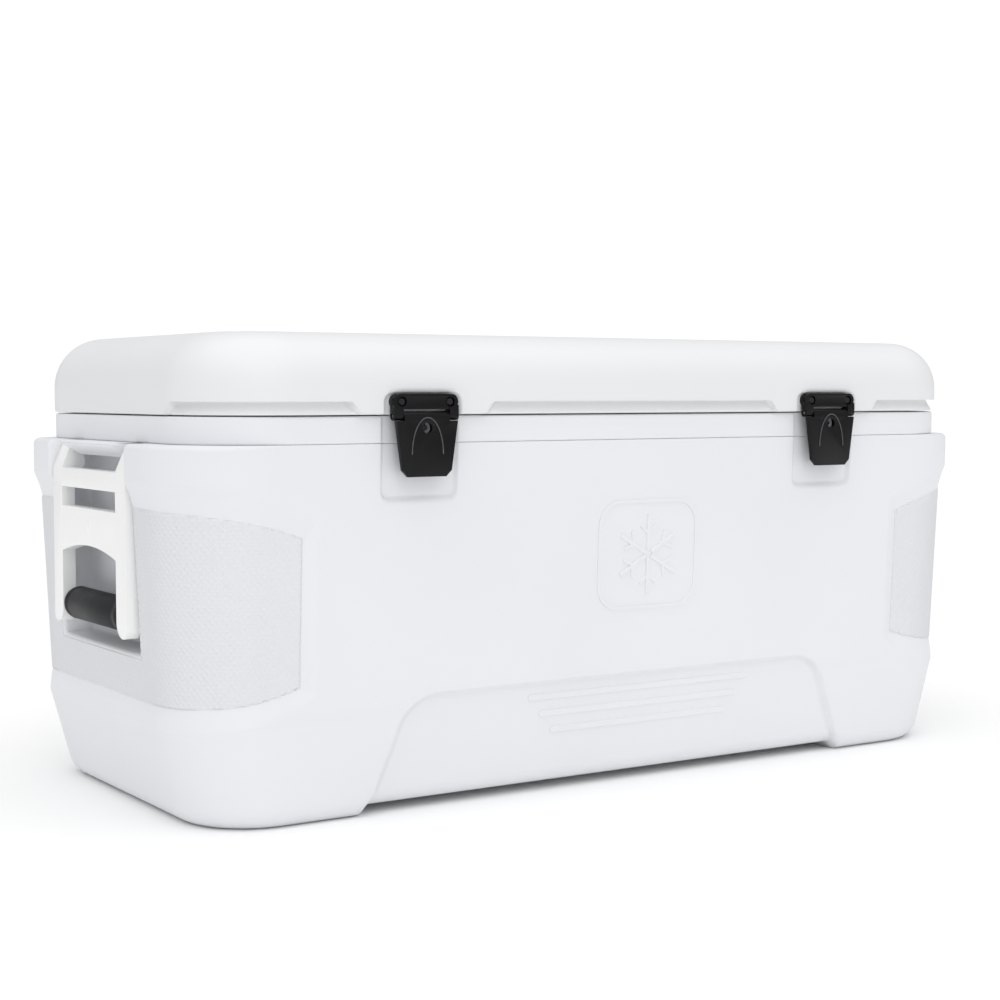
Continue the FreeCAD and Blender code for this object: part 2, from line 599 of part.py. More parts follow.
def make_latch(side, word):
    middle = f"{side} * latch_x"

    # The lever: a tapered plate with chamfered toes, an eye and its own knuckle.
    lever = new_body(f"lever_plate_{word}")
    outline = polygon(lever, f"lever_outline_{word}", "XZ_Plane",
                      [("-latch_head_half", "latch_pin_height - latch_head_drop"),
                       ("-latch_toe_half - 1", "latch_toe_height + latch_toe_chamfer"),
                       ("-latch_toe_half + latch_toe_chamfer - 1", "latch_toe_height"),
                       ("latch_toe_half - latch_toe_chamfer + 1", "latch_toe_height"),
                       ("latch_toe_half + 1", "latch_toe_height + latch_toe_chamfer"),
                       ("latch_head_half", "latch_pin_height - latch_head_drop")],
                      "latch_face - latch_plate")
    pad(lever, outline, "latch_plate")
    place(lever, middle)
    web = block(f"lever_web_{word}", f"{middle} - latch_knuckle_half",
                f"{middle} + latch_knuckle_half", "-latch_face", "-latch_face + latch_plate",
                "latch_pin_height - latch_head_drop - 1", "latch_pin_height")
    knuckle = rod(f"lever_knuckle_{word}", "latch_knuckle", "2 * latch_knuckle_half", "x",
                  f"{middle} - latch_knuckle_half", "-latch_pin_y", "latch_pin_height")
    bore = rod(f"lever_bore_{word}", "latch_pin_radius + running_play", "tool_length", "x",
               f"{middle} - tool_length / 2", "-latch_pin_y", "latch_pin_height")
    eye = rod(f"lever_eye_{word}", "latch_eye_radius", "tool_length", "y", middle,
              "-latch_face - tool_length / 2", "latch_eye_height")
    node(cut(f"lever_cut_{word}", fuse(f"lever_blank_{word}", lever, web, knuckle), bore, eye),
         f"latch_lever_{word}")

    # The base: a stadium plate on the lid with two knuckles that hold the pin.
    half_base = "(base_high - base_low) / 2"
    plate = block(f"base_plate_{word}", f"{middle} - base_half + {half_base}",
                  f"{middle} + base_half - {half_base}", "-base_face",
                  "-lid_width / 2 + latch_seat_depth + 1", "base_low", "base_high")
    ends = [rod(f"base_end_{word}_{name}", half_base,
                "base_face - lid_width / 2 + latch_seat_depth + 1", "y",
                f"{middle} + {hand} * (base_half - {half_base})", "-base_face",
                "(base_high + base_low) / 2") for hand, name in ((-1, "near"), (1, "far"))]
    ears = []
    for hand, name in ((-1, "near"), (1, "far")):
        low, high = sorted((f"{middle} + {hand} * (latch_knuckle_half + 0.5)",
                            f"{middle} + {hand} * base_half"), key=evaluate)
        ears.append(rod(f"base_ear_{word}_{name}", "latch_knuckle", f"({high}) - ({low})", "x",
                        low, "-latch_pin_y", "latch_pin_height"))
        ears.append(block(f"base_web_{word}_{name}", low, high,
                          "-latch_pin_y - latch_knuckle", "-latch_pin_y + latch_knuckle",
                          "latch_pin_height", "base_low + 4"))
    cups = [rod(f"base_cup_{word}_{name}", "screw_head_radius + cup_play", "tool_length", "y",
                f"{middle} + {hand} * base_screw_x", "-base_face + cup_depth - tool_length",
                "(base_high + base_low) / 2") for hand, name in ((-1, "near"), (1, "far"))]
    holes = [rod(f"base_hole_{word}_{name}", "screw_radius", "tool_length", "y",
                 f"{middle} + {hand} * base_screw_x", "-base_face - tool_length / 2",
                 "(base_high + base_low) / 2") for hand, name in ((-1, "near"), (1, "far"))]
    pin_hole = rod(f"base_pin_hole_{word}", "latch_pin_radius", "tool_length", "x",
                   f"{middle} - tool_length / 2", "-latch_pin_y", "latch_pin_height")
    node(cut(f"base_cut_{word}", fuse(f"base_blank_{word}", plate, *ends, *ears), pin_hole,
             *cups, *holes), f"latch_base_{word}")
    node(rod(f"latch_pin_rod_{word}", "latch_pin_radius", "2 * base_half - 1", "x",
             f"{middle} - base_half + 0.5", "-latch_pin_y", "latch_pin_height"),
         f"latch_pin_{word}")

    # The keeper: a round-headed stud in the rim that shows through the lever's eye.
    keeper = new_body(f"keeper_body_{word}")
    face = "rim_width / 2 - latch_seat_depth"
    profile = polygon(keeper, f"keeper_profile_{word}", "XZ_Plane",
                      [("0", "-keeper_shank"), ("screw_radius", "-keeper_shank"), ("screw_radius", "0"),
                       ("keeper_radius + 1.5", "0"), ("keeper_radius + 1.5", "1.6"),
                       ("keeper_radius", "3"), ("keeper_radius", f"keeper_tip - ({face}) - 1.2"),
                       ("keeper_radius - 1.2", f"keeper_tip - ({face})"),
                       ("0", f"keeper_tip - ({face})")])
    revolve(keeper, profile)
    keeper.Placement = FreeCAD.Placement(
        FreeCAD.Vector(), FreeCAD.Rotation(FreeCAD.Vector(1, 0, 0), 90))
    node(place(keeper, middle, f"-({face})", "latch_eye_height"), f"latch_keeper_{word}")


def make_latch_screws():
    screws = [screw(f"base_screw_{word}_{name}", -1, f"{side} * latch_x + {hand} * base_screw_x",
                    "-base_face + cup_depth", "(base_high + base_low) / 2")
              for side, word in SIDES for hand, name in ((-1, "near"), (1, "far"))]
    node(group("base_screws", *screws), "latch_screws")


# ---------------------------------------------------------------- rear hinges

HINGES = ((-1, "left"), (0, "centre"), (1, "right"))


def make_hinge(place_index, word):
    middle = f"{place_index} * hinge_spacing"
    third = "2 * hinge_half / 5"
    tub_face = "shoulder_width / 2"

    def knuckle(name, start, count):
        return rod(name, "hinge_knuckle", f"{count} * {third} - 2 * knuckle_gap", "x",
                   f"{middle} - hinge_half + {start} * {third} + knuckle_gap", "hinge_y",
                   "hinge_height")

    def knuckle_web(name, start, count, low, high, face):
        return block(name, f"{middle} - hinge_half + {start} * {third} + knuckle_gap",
                     f"{middle} - hinge_half + ({start} + {count}) * {third} - knuckle_gap",
                     face, "hinge_y + hinge_pin_radius", low, high)

    lower = [block(f"lower_leaf_{word}", f"{middle} - hinge_half", f"{middle} + hinge_half",
                   tub_face, f"{tub_face} + hinge_leaf", "hinge_leaf_low", "rim_top - 4")]
    for part, start in (("near", 0), ("far", 4)):
        lower.append(knuckle(f"lower_knuckle_{word}_{part}", start, 1))
        lower.append(knuckle_web(f"lower_web_{word}_{part}", start, 1, "rim_top - 12",
                                 "rim_top - 1.5", tub_face))
    lower.append(knuckle(f"lower_knuckle_{word}_mid", 2, 1))
    lower.append(knuckle_web(f"lower_web_{word}_mid", 2, 1, "rim_top - 12", "rim_top - 1.5",
                             tub_face))
    upper = [block(f"upper_leaf_{word}", f"{middle} - hinge_half", f"{middle} + hinge_half",
                   "lid_width / 2", "lid_width / 2 + hinge_leaf", "hinge_height + 7",
                   "hinge_leaf_high")]
    for part, start in (("near", 1), ("far", 3)):
        upper.append(knuckle(f"upper_knuckle_{word}_{part}", start, 1))
        upper.append(knuckle_web(f"upper_web_{word}_{part}", start, 1, "hinge_height",
                                 "hinge_height + 12", "lid_width / 2"))
    pin_hole = rod(f"hinge_hole_{word}", "hinge_pin_radius", "2 * hinge_half + 10", "x",
                   f"{middle} - hinge_half - 5", "hinge_y", "hinge_height")
    pin_bore = rod(f"hinge_bore_{word}", "hinge_pin_radius + running_play",
                   "2 * hinge_half + 10", "x", f"{middle} - hinge_half - 5", "hinge_y",
                   "hinge_height")
    screw_holes = [rod(f"leaf_hole_{word}_{level}_{hand + 1}", "screw_radius", "tool_length", "y",
                       f"{middle} + {hand} * hinge_screw_x",
                       "shoulder_width / 2 - tool_length / 2", height)
                   for level, height in (("low", "hinge_screw_low"),
                                         ("high", "hinge_screw_high"))
                   for hand in (-1, 1)]
    node(cut(f"lower_cut_{word}", fuse(f"lower_blank_{word}", *lower), pin_hole,
             *screw_holes[:2]), f"hinge_lower_{word}")
    node(cut(f"upper_cut_{word}", fuse(f"upper_blank_{word}", *upper), pin_bore,
             *screw_holes[2:]), f"hinge_upper_{word}")
    node(rod(f"hinge_pin_rod_{word}", "hinge_pin_radius", "2 * hinge_half - 1", "x",
             f"{middle} - hinge_half + 0.5", "hinge_y", "hinge_height"), f"hinge_pin_{word}")


def make_hinge_screws():
    for level, face, height in (
            ("lower", "shoulder_width / 2 + hinge_leaf", "hinge_screw_low"),
            ("upper", "lid_width / 2 + hinge_leaf", "hinge_screw_high")):
        screws = [screw(f"{level}_screw_{word}_{hand + 1}", 1,
                        f"{index} * hinge_spacing + {hand} * hinge_screw_x", face, height)
                  for index, word in HINGES for hand in (-1, 1)]
        node(group(f"{level}_screws", *screws), f"hinge_screws_{level}")


# ---------------------------------------------------------------- end handles

def make_handle(side, word):
    inner_half = "(handle_half - handle_arm)"
    front = f"{side} * handle_face"
    back = f"{side} * (handle_face - handle_plate)"
    low, high = sorted((front, back), key=evaluate)

    # The frame: two arms, a top bar, a plate with a tie-down slot, and the grip's core bar.
    frame = new_body(f"handle_body_{word}")
    outline = polygon(frame, f"handle_outline_{word}", "YZ_Plane",
                      [("-handle_half", "handle_low"), (f"-{inner_half}", "handle_low"),
                       (f"-{inner_half}", "arch_spring"), (inner_half, "arch_spring"),
                       (inner_half, "handle_low"), ("handle_half", "handle_low"),
                       ("handle_half", "handle_high"), ("-handle_half", "handle_high")], low)
    pad(frame, outline, "handle_plate")
    for name, radius, place_y in (("handle_corners", "handle_corner", "handle_half"),
                                  ("arm_corners", "arm_corner", inner_half)):
        round_edges(frame, f"{name}_{word}", radius,
                    lambda edge: abs(edge.tangentAt(edge.FirstParameter).x) > 0.9
                    and edge.CenterOfMass.z < evaluate("handle_low") + 1
                    and abs(abs(edge.CenterOfMass.y) - evaluate(place_y)) < 1)
    windows = [
        block(f"top_window_{word}", "-tool_reach", "tool_reach", f"-{inner_half}", inner_half,
              "handle_bar_high", "handle_high + 5"),
        block(f"strap_slot_{word}", "-tool_reach", "tool_reach", f"-{inner_half}", inner_half,
              "slot_low", "slot_high")]
    arch = doc.addObject("Part::Cylinder", f"finger_arch_{word}")
    arch.Placement = FreeCAD.Placement(FreeCAD.Vector(), TURN["x"])
    radius = f"({inner_half} ^ 2 + arch_rise ^ 2) / (2 * arch_rise)"
    bind(arch, Radius=radius, Height="2 * tool_reach")
    place(arch, "-tool_reach", 0, f"arch_spring + arch_rise - {radius}")
    arch_half = common(f"arch_window_{word}", arch,
                       block(f"arch_limit_{word}", "-tool_reach", "tool_reach", f"-{inner_half}", inner_half,
                             "arch_spring - 1", "arch_spring + arch_rise + 1"))
    slope = new_body(f"arm_slope_{word}")
    slope_outline = polygon(slope, f"arm_slope_outline_{word}", "XZ_Plane",
                            [(f"{side} * (handle_face + 1)", "handle_bar_high"),
                             (f"{side} * (handle_face + 1)", "handle_high + 2"),
                             (f"{side} * (handle_face - handle_plate + 1)", "handle_high + 2"),
                             (f"{side} * handle_face", "handle_bar_high")])
    pad(slope, slope_outline, "3 * tool_length", midplane=True)
    bores = [rod(f"pivot_bore_{word}_{name}", "pivot_radius + running_play",
                 "pivot_bore + 5", "y", f"{side} * pivot_x",
                 "handle_half - pivot_bore" if hand > 0 else "-handle_half - 5",
                 "pivot_height") for hand, name in ((-1, "front"), (1, "back"))]
    bosses = [rod(f"pivot_boss_{word}_{name}", "pivot_boss", "handle_arm", "y",
                  f"{side} * pivot_x", start, "pivot_height")
              for start, name in (("-handle_half", "front"), (inner_half, "back"))]
    core = rod(f"grip_core_{word}", "grip_core", f"2 * {inner_half} + 4", "y",
               f"{side} * grip_x", f"-{inner_half} - 2", "grip_height")
    cheeks = []
    for hand, name in ((-1, "front"), (1, "back")):
        y_low, y_high = sorted((f"{hand} * {inner_half}", f"{hand} * handle_half"), key=evaluate)
        cheeks.append(rod(f"grip_cheek_{word}_{name}", "grip_radius - 3",
                          f"({y_high}) - ({y_low})", "y", f"{side} * grip_x", y_low,
                          "grip_height"))
    cut_plate = cut(f"handle_plate_{word}", frame, *windows, arch_half, slope)
    node(cut(f"handle_cut_{word}", fuse(f"handle_blank_{word}", cut_plate, core, *bosses,
                                        *cheeks), *bores), f"handle_frame_{word}")

    # The rubber grip, turned with rounded ends, over the core bar.
    grip = new_body(f"grip_body_{word}")
    profile = polygon(grip, f"grip_profile_{word}", "XZ_Plane",
                      [("grip_core", f"-{inner_half}"), ("grip_radius", f"-{inner_half}"),
                       ("grip_radius", inner_half), ("grip_core", inner_half)])
    revolve(grip, profile)
    round_edges(grip, f"grip_ends_{word}", "grip_end",
                lambda edge: edge.Length > 2 * evaluate("grip_core") * 3.5)
    grip.Placement = FreeCAD.Placement(
        FreeCAD.Vector(), FreeCAD.Rotation(FreeCAD.Vector(1, 0, 0), 90))
    node(place(grip, f"{side} * grip_x", 0, "grip_height"), f"handle_grip_{word}")

    # Two pivot pins set in the pocket's side walls.
    pins = [rod(f"pivot_pin_{word}_{name}", "pivot_radius", "pivot_bore - 1 + 7", "y",
                f"{side} * pivot_x",
                "handle_half - pivot_bore + 1" if hand > 0 else "-handle_half - 6.5",
                "pivot_height") for hand, name in ((-1, "front"), (1, "back"))]
    node(group(f"pivot_pins_{word}", *pins), f"handle_pins_{word}")


# ---------------------------------------------------------------- drain

def turned(name, corners, x):
    """A piece turned about the drain's axis; its outline gives radius and distance out."""
    body = new_body(name)
    revolve(body, polygon(body, name + "_profile", "XZ_Plane", corners))
    body.Placement = FreeCAD.Placement(FreeCAD.Vector(), TURN["x"])
    return place(body, x, "drain_y", "drain_height")


def make_drain():
    inner_face = "(drain_seat - 38)"
    reach = "(cap_end - cap_top - drain_seat)"
    node(turned("drain_spout_body",
                [("drain_bore", f"{inner_face} - drain_seat"),
                 ("drain_tube", f"{inner_face} - drain_seat"), ("drain_tube", "0.8"),
                 ("drain_flange", "0.8"), ("drain_flange", "3.2"), ("drain_tube + 1.5", "3.2"),
                 ("drain_tube + 1.5", reach), ("drain_bore", reach)], "drain_seat"),
         "drain_spout")
    node(turned("drain_gasket_body",
                [("drain_tube", "0"), ("drain_flange - 1", "0"), ("drain_flange - 1", "0.8"),
                 ("drain_tube", "0.8")], "drain_seat"), "drain_gasket")
    node(turned("drain_nut_body",
                [("drain_tube", "0"), ("drain_flange - 2", "0"), ("drain_flange - 2", "-5"),
                 ("drain_tube", "-5")], "well_length / 2 - 1.5"), "drain_nut")
    wall = "(drain_tube + 1.5 + cap_play)"
    cap_inside = f"({reach} + 1.6)"
    skirt = turned("drain_cap_body",
                   [(wall, "4"), ("cap_radius - 2", "4"), ("cap_radius - 2", "cap_end - drain_seat"),
                    ("0", "cap_end - drain_seat"), ("0", cap_inside), (wall, cap_inside)],
                   "drain_seat")
    ribs = []
    for index in range(12):
        rib = doc.addObject("Part::Cylinder", f"cap_rib_{index}")
        rib.Placement = FreeCAD.Placement(FreeCAD.Vector(), TURN["x"])
        bind(rib, Radius="cap_rib", Height="cap_end - drain_seat - 5")
        ribs.append(place(rib, "drain_seat + 4.5",
                          f"drain_y + (cap_radius - cap_rib) * cos({30 * index} deg)",
                          f"drain_height + (cap_radius - cap_rib) * sin({30 * index} deg)"))
    node(fuse("drain_cap_fuse", skirt, *ribs), "drain_cap")
    node(turned("drain_seal_body",
                [("0", f"{reach} + 0.1"), ("drain_tube", f"{reach} + 0.1"),
                 ("drain_tube", f"{reach} + 1.5"), ("0", f"{reach} + 1.5")], "drain_seat"),
         "drain_seal")


# ---------------------------------------------------------------- build, check and write

make_tub()
make_lid()
for latch_side, latch_word in SIDES:
    make_latch(latch_side, latch_word)
make_latch_screws()
for hinge_index, hinge_word in HINGES:
    make_hinge(hinge_index, hinge_word)
make_hinge_screws()
for handle_side, handle_word in SIDES:
    make_handle(handle_side, handle_word)
make_drain()
doc.recompute()

for thing in doc.Objects:
    bad = {"Invalid", "Error"} & set(thing.State)
    if bad:
        raise RuntimeError(f"{thing.Name} ({thing.Label}) did not build: {sorted(bad)}")

for name, thing in NODES.items():
    if thing.Shape.isNull() or not thing.Shape.isValid():
        raise RuntimeError(f"{name} has no valid shape")

os.makedirs("parts", exist_ok=True)
for name, thing in NODES.items():
    thing.Shape.exportStep(os.path.join("parts", f"{name}.step"))
    print(f"{name}: {len(thing.Shape.Solids)} solid(s), {thing.Shape.Volume / 1000:.1f} cm3")
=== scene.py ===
import json
import math

import bmesh
import bpy
from mathutils import Matrix, Vector


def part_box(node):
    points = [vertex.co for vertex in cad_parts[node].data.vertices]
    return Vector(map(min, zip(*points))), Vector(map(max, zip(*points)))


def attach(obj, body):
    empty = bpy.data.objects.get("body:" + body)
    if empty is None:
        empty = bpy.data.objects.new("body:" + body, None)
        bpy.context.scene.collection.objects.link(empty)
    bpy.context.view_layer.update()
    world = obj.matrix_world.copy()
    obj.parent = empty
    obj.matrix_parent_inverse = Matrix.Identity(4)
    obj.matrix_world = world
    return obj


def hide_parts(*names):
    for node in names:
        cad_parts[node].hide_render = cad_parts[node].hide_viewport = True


# A large cooler chest: a wrapped tub moulding with two textured end panels, a rim and liner,
# a crowned lid with finger slots, black latches, rubber-gripped handles, rear hinges and a drain.
# Shapes are worked out in millimetres and written to the meshes in metres.

MM = 0.001
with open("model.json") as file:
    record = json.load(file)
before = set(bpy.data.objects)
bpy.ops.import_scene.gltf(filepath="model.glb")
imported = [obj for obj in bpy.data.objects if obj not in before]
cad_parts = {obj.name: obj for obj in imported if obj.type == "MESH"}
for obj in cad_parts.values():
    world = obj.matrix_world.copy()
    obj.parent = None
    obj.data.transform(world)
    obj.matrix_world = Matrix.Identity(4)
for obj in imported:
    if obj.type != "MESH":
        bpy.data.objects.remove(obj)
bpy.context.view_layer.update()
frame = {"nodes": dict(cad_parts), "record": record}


def span(node):
    """A CAD node's lowest and highest corners, in millimetres."""
    low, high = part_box(node)
    return low / MM, high / MM


TUB_LOW, TUB_HIGH = span("tub_shell")
RIM_LOW, RIM_HIGH = span("tub_liner")
LID_LOW, LID_HIGH = span("lid_shell")
DRAIN_LOW, DRAIN_HIGH = span("drain_gasket")
SHOULDER = (TUB_HIGH.x, TUB_HIGH.y, 92.0)     # half length, half width, corner radius
RIM = (RIM_HIGH.x, RIM_HIGH.y, 88.0)
LID = (LID_HIGH.x, LID_HIGH.y, 91.0)
DECK = TUB_HIGH.z                             # top of the tub's shoulder
RIM_TOP = RIM_HIGH.z
DRAFT = 0.0454                                # how fast the walls lean in towards the floor
KNEE = 90.0                                   # the skirt runs in below this height
LATCH_X = 248.0                               # the latches' distance from the middle
LATCH_SEAT_HALF, LATCH_SEAT_FOOT = 41.0, 293.0    # half width and lower edge of a latch's recess
LATCH_SEAT_DEPTH, LID_SEAT_DEPTH = 3.5, 4.5   # how deep that recess is in the tub and in the lid
LID_SEAT_TOP = 393.0
FAR = 60.0                                    # far inside a recess, away from that edge
PLATE_HALF, PLATE_TOP, PLATE_CORNER = 290.0, 112.0, 30.0
PLATE_SLANT, PLATE_DEPTH = 0.36, 5.0          # the front plate's sides lean in as they rise
PANEL_DEPTH = 5.6                             # how deep the end panels lie
POCKET_HALF, POCKET_FLOOR, POCKET_ROOF, POCKET_BACK = 97.5, 153.0, 332.0, 445.0
NOTCH_BACK, NOTCH_STEP, NOTCH_BACK_HIGH = 449.0, 340.0, 457.5     # where a handle's arms pass
LIP_HALF = 68.0                               # half width of the lip between the handle's arms
LIP_BACK, LIP_FACE, LIP_BEND = 468.0, 486.6, 343.0    # its sloped underside, in to out, and top


# ---------------------------------------------------------------- shaping helpers

def ease(value, low, high):
    """0 below low, 1 above high, and a soft S between them."""
    t = min(max((value - low) / (high - low), 0.0), 1.0)
    return t * t * (3 - 2 * t)


def ramp(value, low, high):
    return min(max((value - low) / (high - low), 0.0), 1.0)


def inside(across, up, radius):
    """How far a point is inside a corner that two edges make, rounded to a radius."""
    if across < radius and up < radius:
        return radius - math.hypot(radius - across, radius - up)
    return min(across, up)


def steps(*stops):
    """Numbers from stop to stop; each stop is a value and the step that leads on from it."""
    values = []
    for (start, step), (end, _) in zip(stops, stops[1:]):
        count = max(1, round((end - start) / step))
        values += [start + (end - start) * i / count for i in range(count)]
    return values + [stops[-1][0]]


def mirrored(values):
    """The same numbers on both sides of zero, in order."""
    return [-v for v in reversed(values) if v > 0] + [v for v in values if v >= 0]


def columns_round(form, along, across, turns):
    """Upright lines round a rounded rectangle, from the front's left end and back to it.
    Each is a centre to stand on, a direction to face and its distance from the front's or
    back's middle, measured round the wall."""
    half_x, half_y, corner = form
    reach_x, reach_y = half_x - corner, half_y - corner
    angles = [math.pi / 2 * i / turns for i in range(1, turns)]
    columns = [(x, -reach_y, 0.0, -1.0) for x in along]
    columns += [(reach_x, -reach_y, math.sin(a), -math.cos(a)) for a in angles]
    columns += [(reach_x, y, 1.0, 0.0) for y in across]
    columns += [(reach_x, reach_y, math.cos(a), math.sin(a)) for a in angles]
    columns += [(x, reach_y, 0.0, 1.0) for x in reversed(along)]
    columns += [(-reach_x, reach_y, -math.sin(a), math.cos(a)) for a in angles]
    columns += [(-reach_x, y, -1.0, 0.0) for y in reversed(across)]
    columns += [(-reach_x, -reach_y, -math.cos(a), -math.sin(a)) for a in angles]
    return columns + columns[:1]


def wall_distance(column, form):
    """How far round the wall a column stands from the middle of the front or back."""
    x, y, face_x, face_y = column
    half_x, half_y, corner = form
    reach_x, reach_y = half_x - corner, half_y - corner
    turned = math.atan2(abs(face_x), abs(face_y))
    if turned < 1e-6:
        return abs(x)
    return reach_x + corner * turned + (reach_y - abs(y))


def stand(column, form, inset):
    """The point on the outline that lies that far inside the form, on this column."""
    x, y, face_x, face_y = column
    half_x, half_y, corner = form
    if inset <= corner:
        return x + face_x * (corner - inset), y + face_y * (corner - inset)
    shrink_x = (half_x - inset) / (half_x - corner)
    shrink_y = max(half_y - inset, 0.0) / (half_y - corner)
    return x * shrink_x, y * shrink_y


def refit(column, form, other):
    """The same column on another rounded rectangle."""
    x, y, face_x, face_y = column
    return (x * (other[0] - other[2]) / (form[0] - form[2]),
            y * (other[1] - other[2]) / (form[1] - form[2]), face_x, face_y)


def wrap(name, columns, rows, place):
    """A grid bent round the columns, row by row, and sewn up where its edges meet."""
    mesh = bmesh.new()
    wide, high = len(columns) - 1, len(rows) - 1
    bmesh.ops.create_grid(mesh, x_segments=wide, y_segments=high, size=1.0)
    for vertex in mesh.verts:
        column = columns[round((vertex.co.x + 1) / 2 * wide)]
        row = rows[round((vertex.co.y + 1) / 2 * high)]
        vertex.co = Vector(place(column, row)) * MM
    bmesh.ops.remove_doubles(mesh, verts=mesh.verts, dist=0.004 * MM)
    bmesh.ops.dissolve_degenerate(mesh, edges=mesh.edges, dist=0.002 * MM)
    bmesh.ops.recalc_face_normals(mesh, faces=mesh.faces)
    return finish_mesh(name, mesh)


def opened(rows, middle):
    """A closed round of rows, started after the one that reaches the middle line, so that the
    moulding's two skins each close on their own middle line."""
    return rows[middle + 1:] + rows[1:middle + 1]


def finish_mesh(name, mesh, smooth=True):
    """A new object from a bmesh, smooth-shaded."""
    data = bpy.data.meshes.new(name)
    for face in mesh.faces:
        face.smooth = smooth
    mesh.to_mesh(data)
    mesh.free()
    thing = bpy.data.objects.new(name, data)
    bpy.context.scene.collection.objects.link(thing)
    return thing


def dress(thing, material, body, slot, *nodes):
    """Give a piece its finish, put it under its body and hide the CAD nodes it stands for; the
    slot is not used.
    """
    thing.data.materials.clear()
    thing.data.materials.append(material)
    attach(thing, body)
    if nodes:
        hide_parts(*nodes)
    return thing


# ---------------------------------------------------------------- tub moulding

def panel_borders(distance):
    """Heights of the end panel's lower chamfer and upper chamfer, each inner and outer line."""
    fall = math.exp(-max(distance - 349, 0) / 45)
    rise = math.exp(-max(distance - 362, 0) / 45)
    slow_rise = math.exp(-max(distance - 362, 0) / 70)
    return 89 + 34 * fall, 111 + 24 * fall, 290 - 29 * slow_rise, 313 - 33 * rise


def panel_recess(distance, height):
    """Share of the end panel's full depth at a place on the wall."""
    low_out, low_in, high_in, high_out = panel_borders(distance)
    return min(ramp(distance, 351, 365), ramp(height, low_out, low_in),
               1 - ramp(height, high_in, high_out))


def front_plate(x, height):
    """Share of the front plate's depth: a trapezium with rounded upper corners."""
    side = (PLATE_HALF - PLATE_SLANT * (height - 9) - abs(x)) * 0.94
    return ease(inside(side, PLATE_TOP - height, PLATE_CORNER), 0, 3.4)


def latch_seat(x, below, above=FAR):
    """Share of a latch recess's depth, from its lower and upper edges and its two sides."""
    side = LATCH_SEAT_HALF - abs(abs(x) - LATCH_X)
    return ease(inside(side, min(below, above), 10), 0, 2.4)


def front_depth(x, y, height):
    """How deep the front's own features are: the plate and the latch recesses."""
    if y > 0:
        return 0.0
    seat = latch_seat(x, height - LATCH_SEAT_FOOT)
    return PLATE_DEPTH * front_plate(x, height) + LATCH_SEAT_DEPTH * seat


def pocket_wall(x, y, height, on_deck):
    """Where a handle pocket holds an end's surface back, or None outside it."""
    gap = max(abs(y) - POCKET_HALF, POCKET_FLOOR - height)
    if gap >= 0:
        return max(abs(x) - 3.0 * max(1 - gap / 3, 0) ** 2.2, POCKET_BACK)
    if height <= POCKET_ROOF:
        return POCKET_BACK
    if abs(y) > LIP_HALF:
        return NOTCH_BACK if height <= NOTCH_STEP else NOTCH_BACK_HIGH
    if on_deck:
        return abs(x)
    if height < LIP_BEND:
        return LIP_BACK + (LIP_FACE - LIP_BACK) * ramp(height, 332.6, LIP_BEND)
    return min(abs(x), LIP_FACE + 1.4 * ramp(height, LIP_BEND, LIP_BEND + 1.4))


def tub_surface(column, height, inset=0.0):
    """A point on the tub's outer wall at a height, with every moulded feature."""
    distance = wall_distance(column, SHOULDER)
    depth = (DECK - height) * DRAFT if height < DECK else 0.0
    end_share = ease(distance, 396, 470)
    depth *= 1 - end_share * ramp(height, 300, 313)          # the shoulder stands upright
    depth += PANEL_DEPTH * panel_recess(distance, height)
    depth += 1.4 * ramp(104 - height, 0, 12)
    depth += 3.0 * ramp(KNEE - height, 0, 90) * abs(column[3])
    depth += front_depth(column[0], column[1], height) if abs(column[3]) > 0.99 else 0.0
    x, y = stand(column, SHOULDER, depth + inset)
    run_in = 0.22 * max(KNEE - height, 0.0) * ramp(abs(x), 300, 396)
    return x - math.copysign(run_in, x), y


EDGE = 17.0                                   # radius of the tub's bottom edge
SKID_INNER, SKID_RISE = 299.0, 8.0


def tub_point(column, row):
    """Where a column and a row of the tub's skin meet."""
    stage, value = row
    if stage == "keel":
        x, y = stand(column, SHOULDER, SHOULDER[1])
        height = 0.0
    elif stage == "base":
        x, y = tub_surface(column, 0.0, value)
        height = 0.0
    elif stage == "edge":
        height = EDGE * (1 - math.cos(value))
        x, y = tub_surface(column, height, EDGE * (1 - math.sin(value)))
    elif stage == "wall":
        height = value
        x, y = tub_surface(column, height)
        x = drain_seat(x, y, height)
    elif stage == "shoulder":
        radius = 1.3 + 4.2 * ease(wall_distance(column, SHOULDER), 380, 450)
        height = DECK - radius * (1 - math.sin(value))
        x, y = tub_surface(column, height, radius * (1 - math.cos(value)))
    elif stage == "deck":
        height = DECK
        near = tub_surface(column, DECK, 5.5)
        far = stand(refit(column, SHOULDER, RIM), RIM, 8.0)
        x, y = (near[0] + (far[0] - near[0]) * value, near[1] + (far[1] - near[1]) * value)
    else:
        height, form, inset = value
        return (*stand(refit(column, SHOULDER, form), form, inset), height)
    if abs(column[2]) > 0.99:
        held = pocket_wall(x, column[1], height, stage == "deck")
        x = math.copysign(min(abs(x), held), x)
    if height < 60:
        height += SKID_RISE * (1 - ease(abs(x), 291, SKID_INNER)) * (1 - ramp(height, 0, 60))
    return x, y, height


def drain_seat(x, y, height):
    """The drain's flat round seat on the +X end."""
    if x < DRAIN_LOW.x - 20:
        return x
    away = math.hypot(y - (DRAIN_LOW.y + DRAIN_HIGH.y) / 2,
                      height - (DRAIN_LOW.z + DRAIN_HIGH.z) / 2)
    return x + (DRAIN_LOW.x - x) * ease(28 - away, 0, 3)


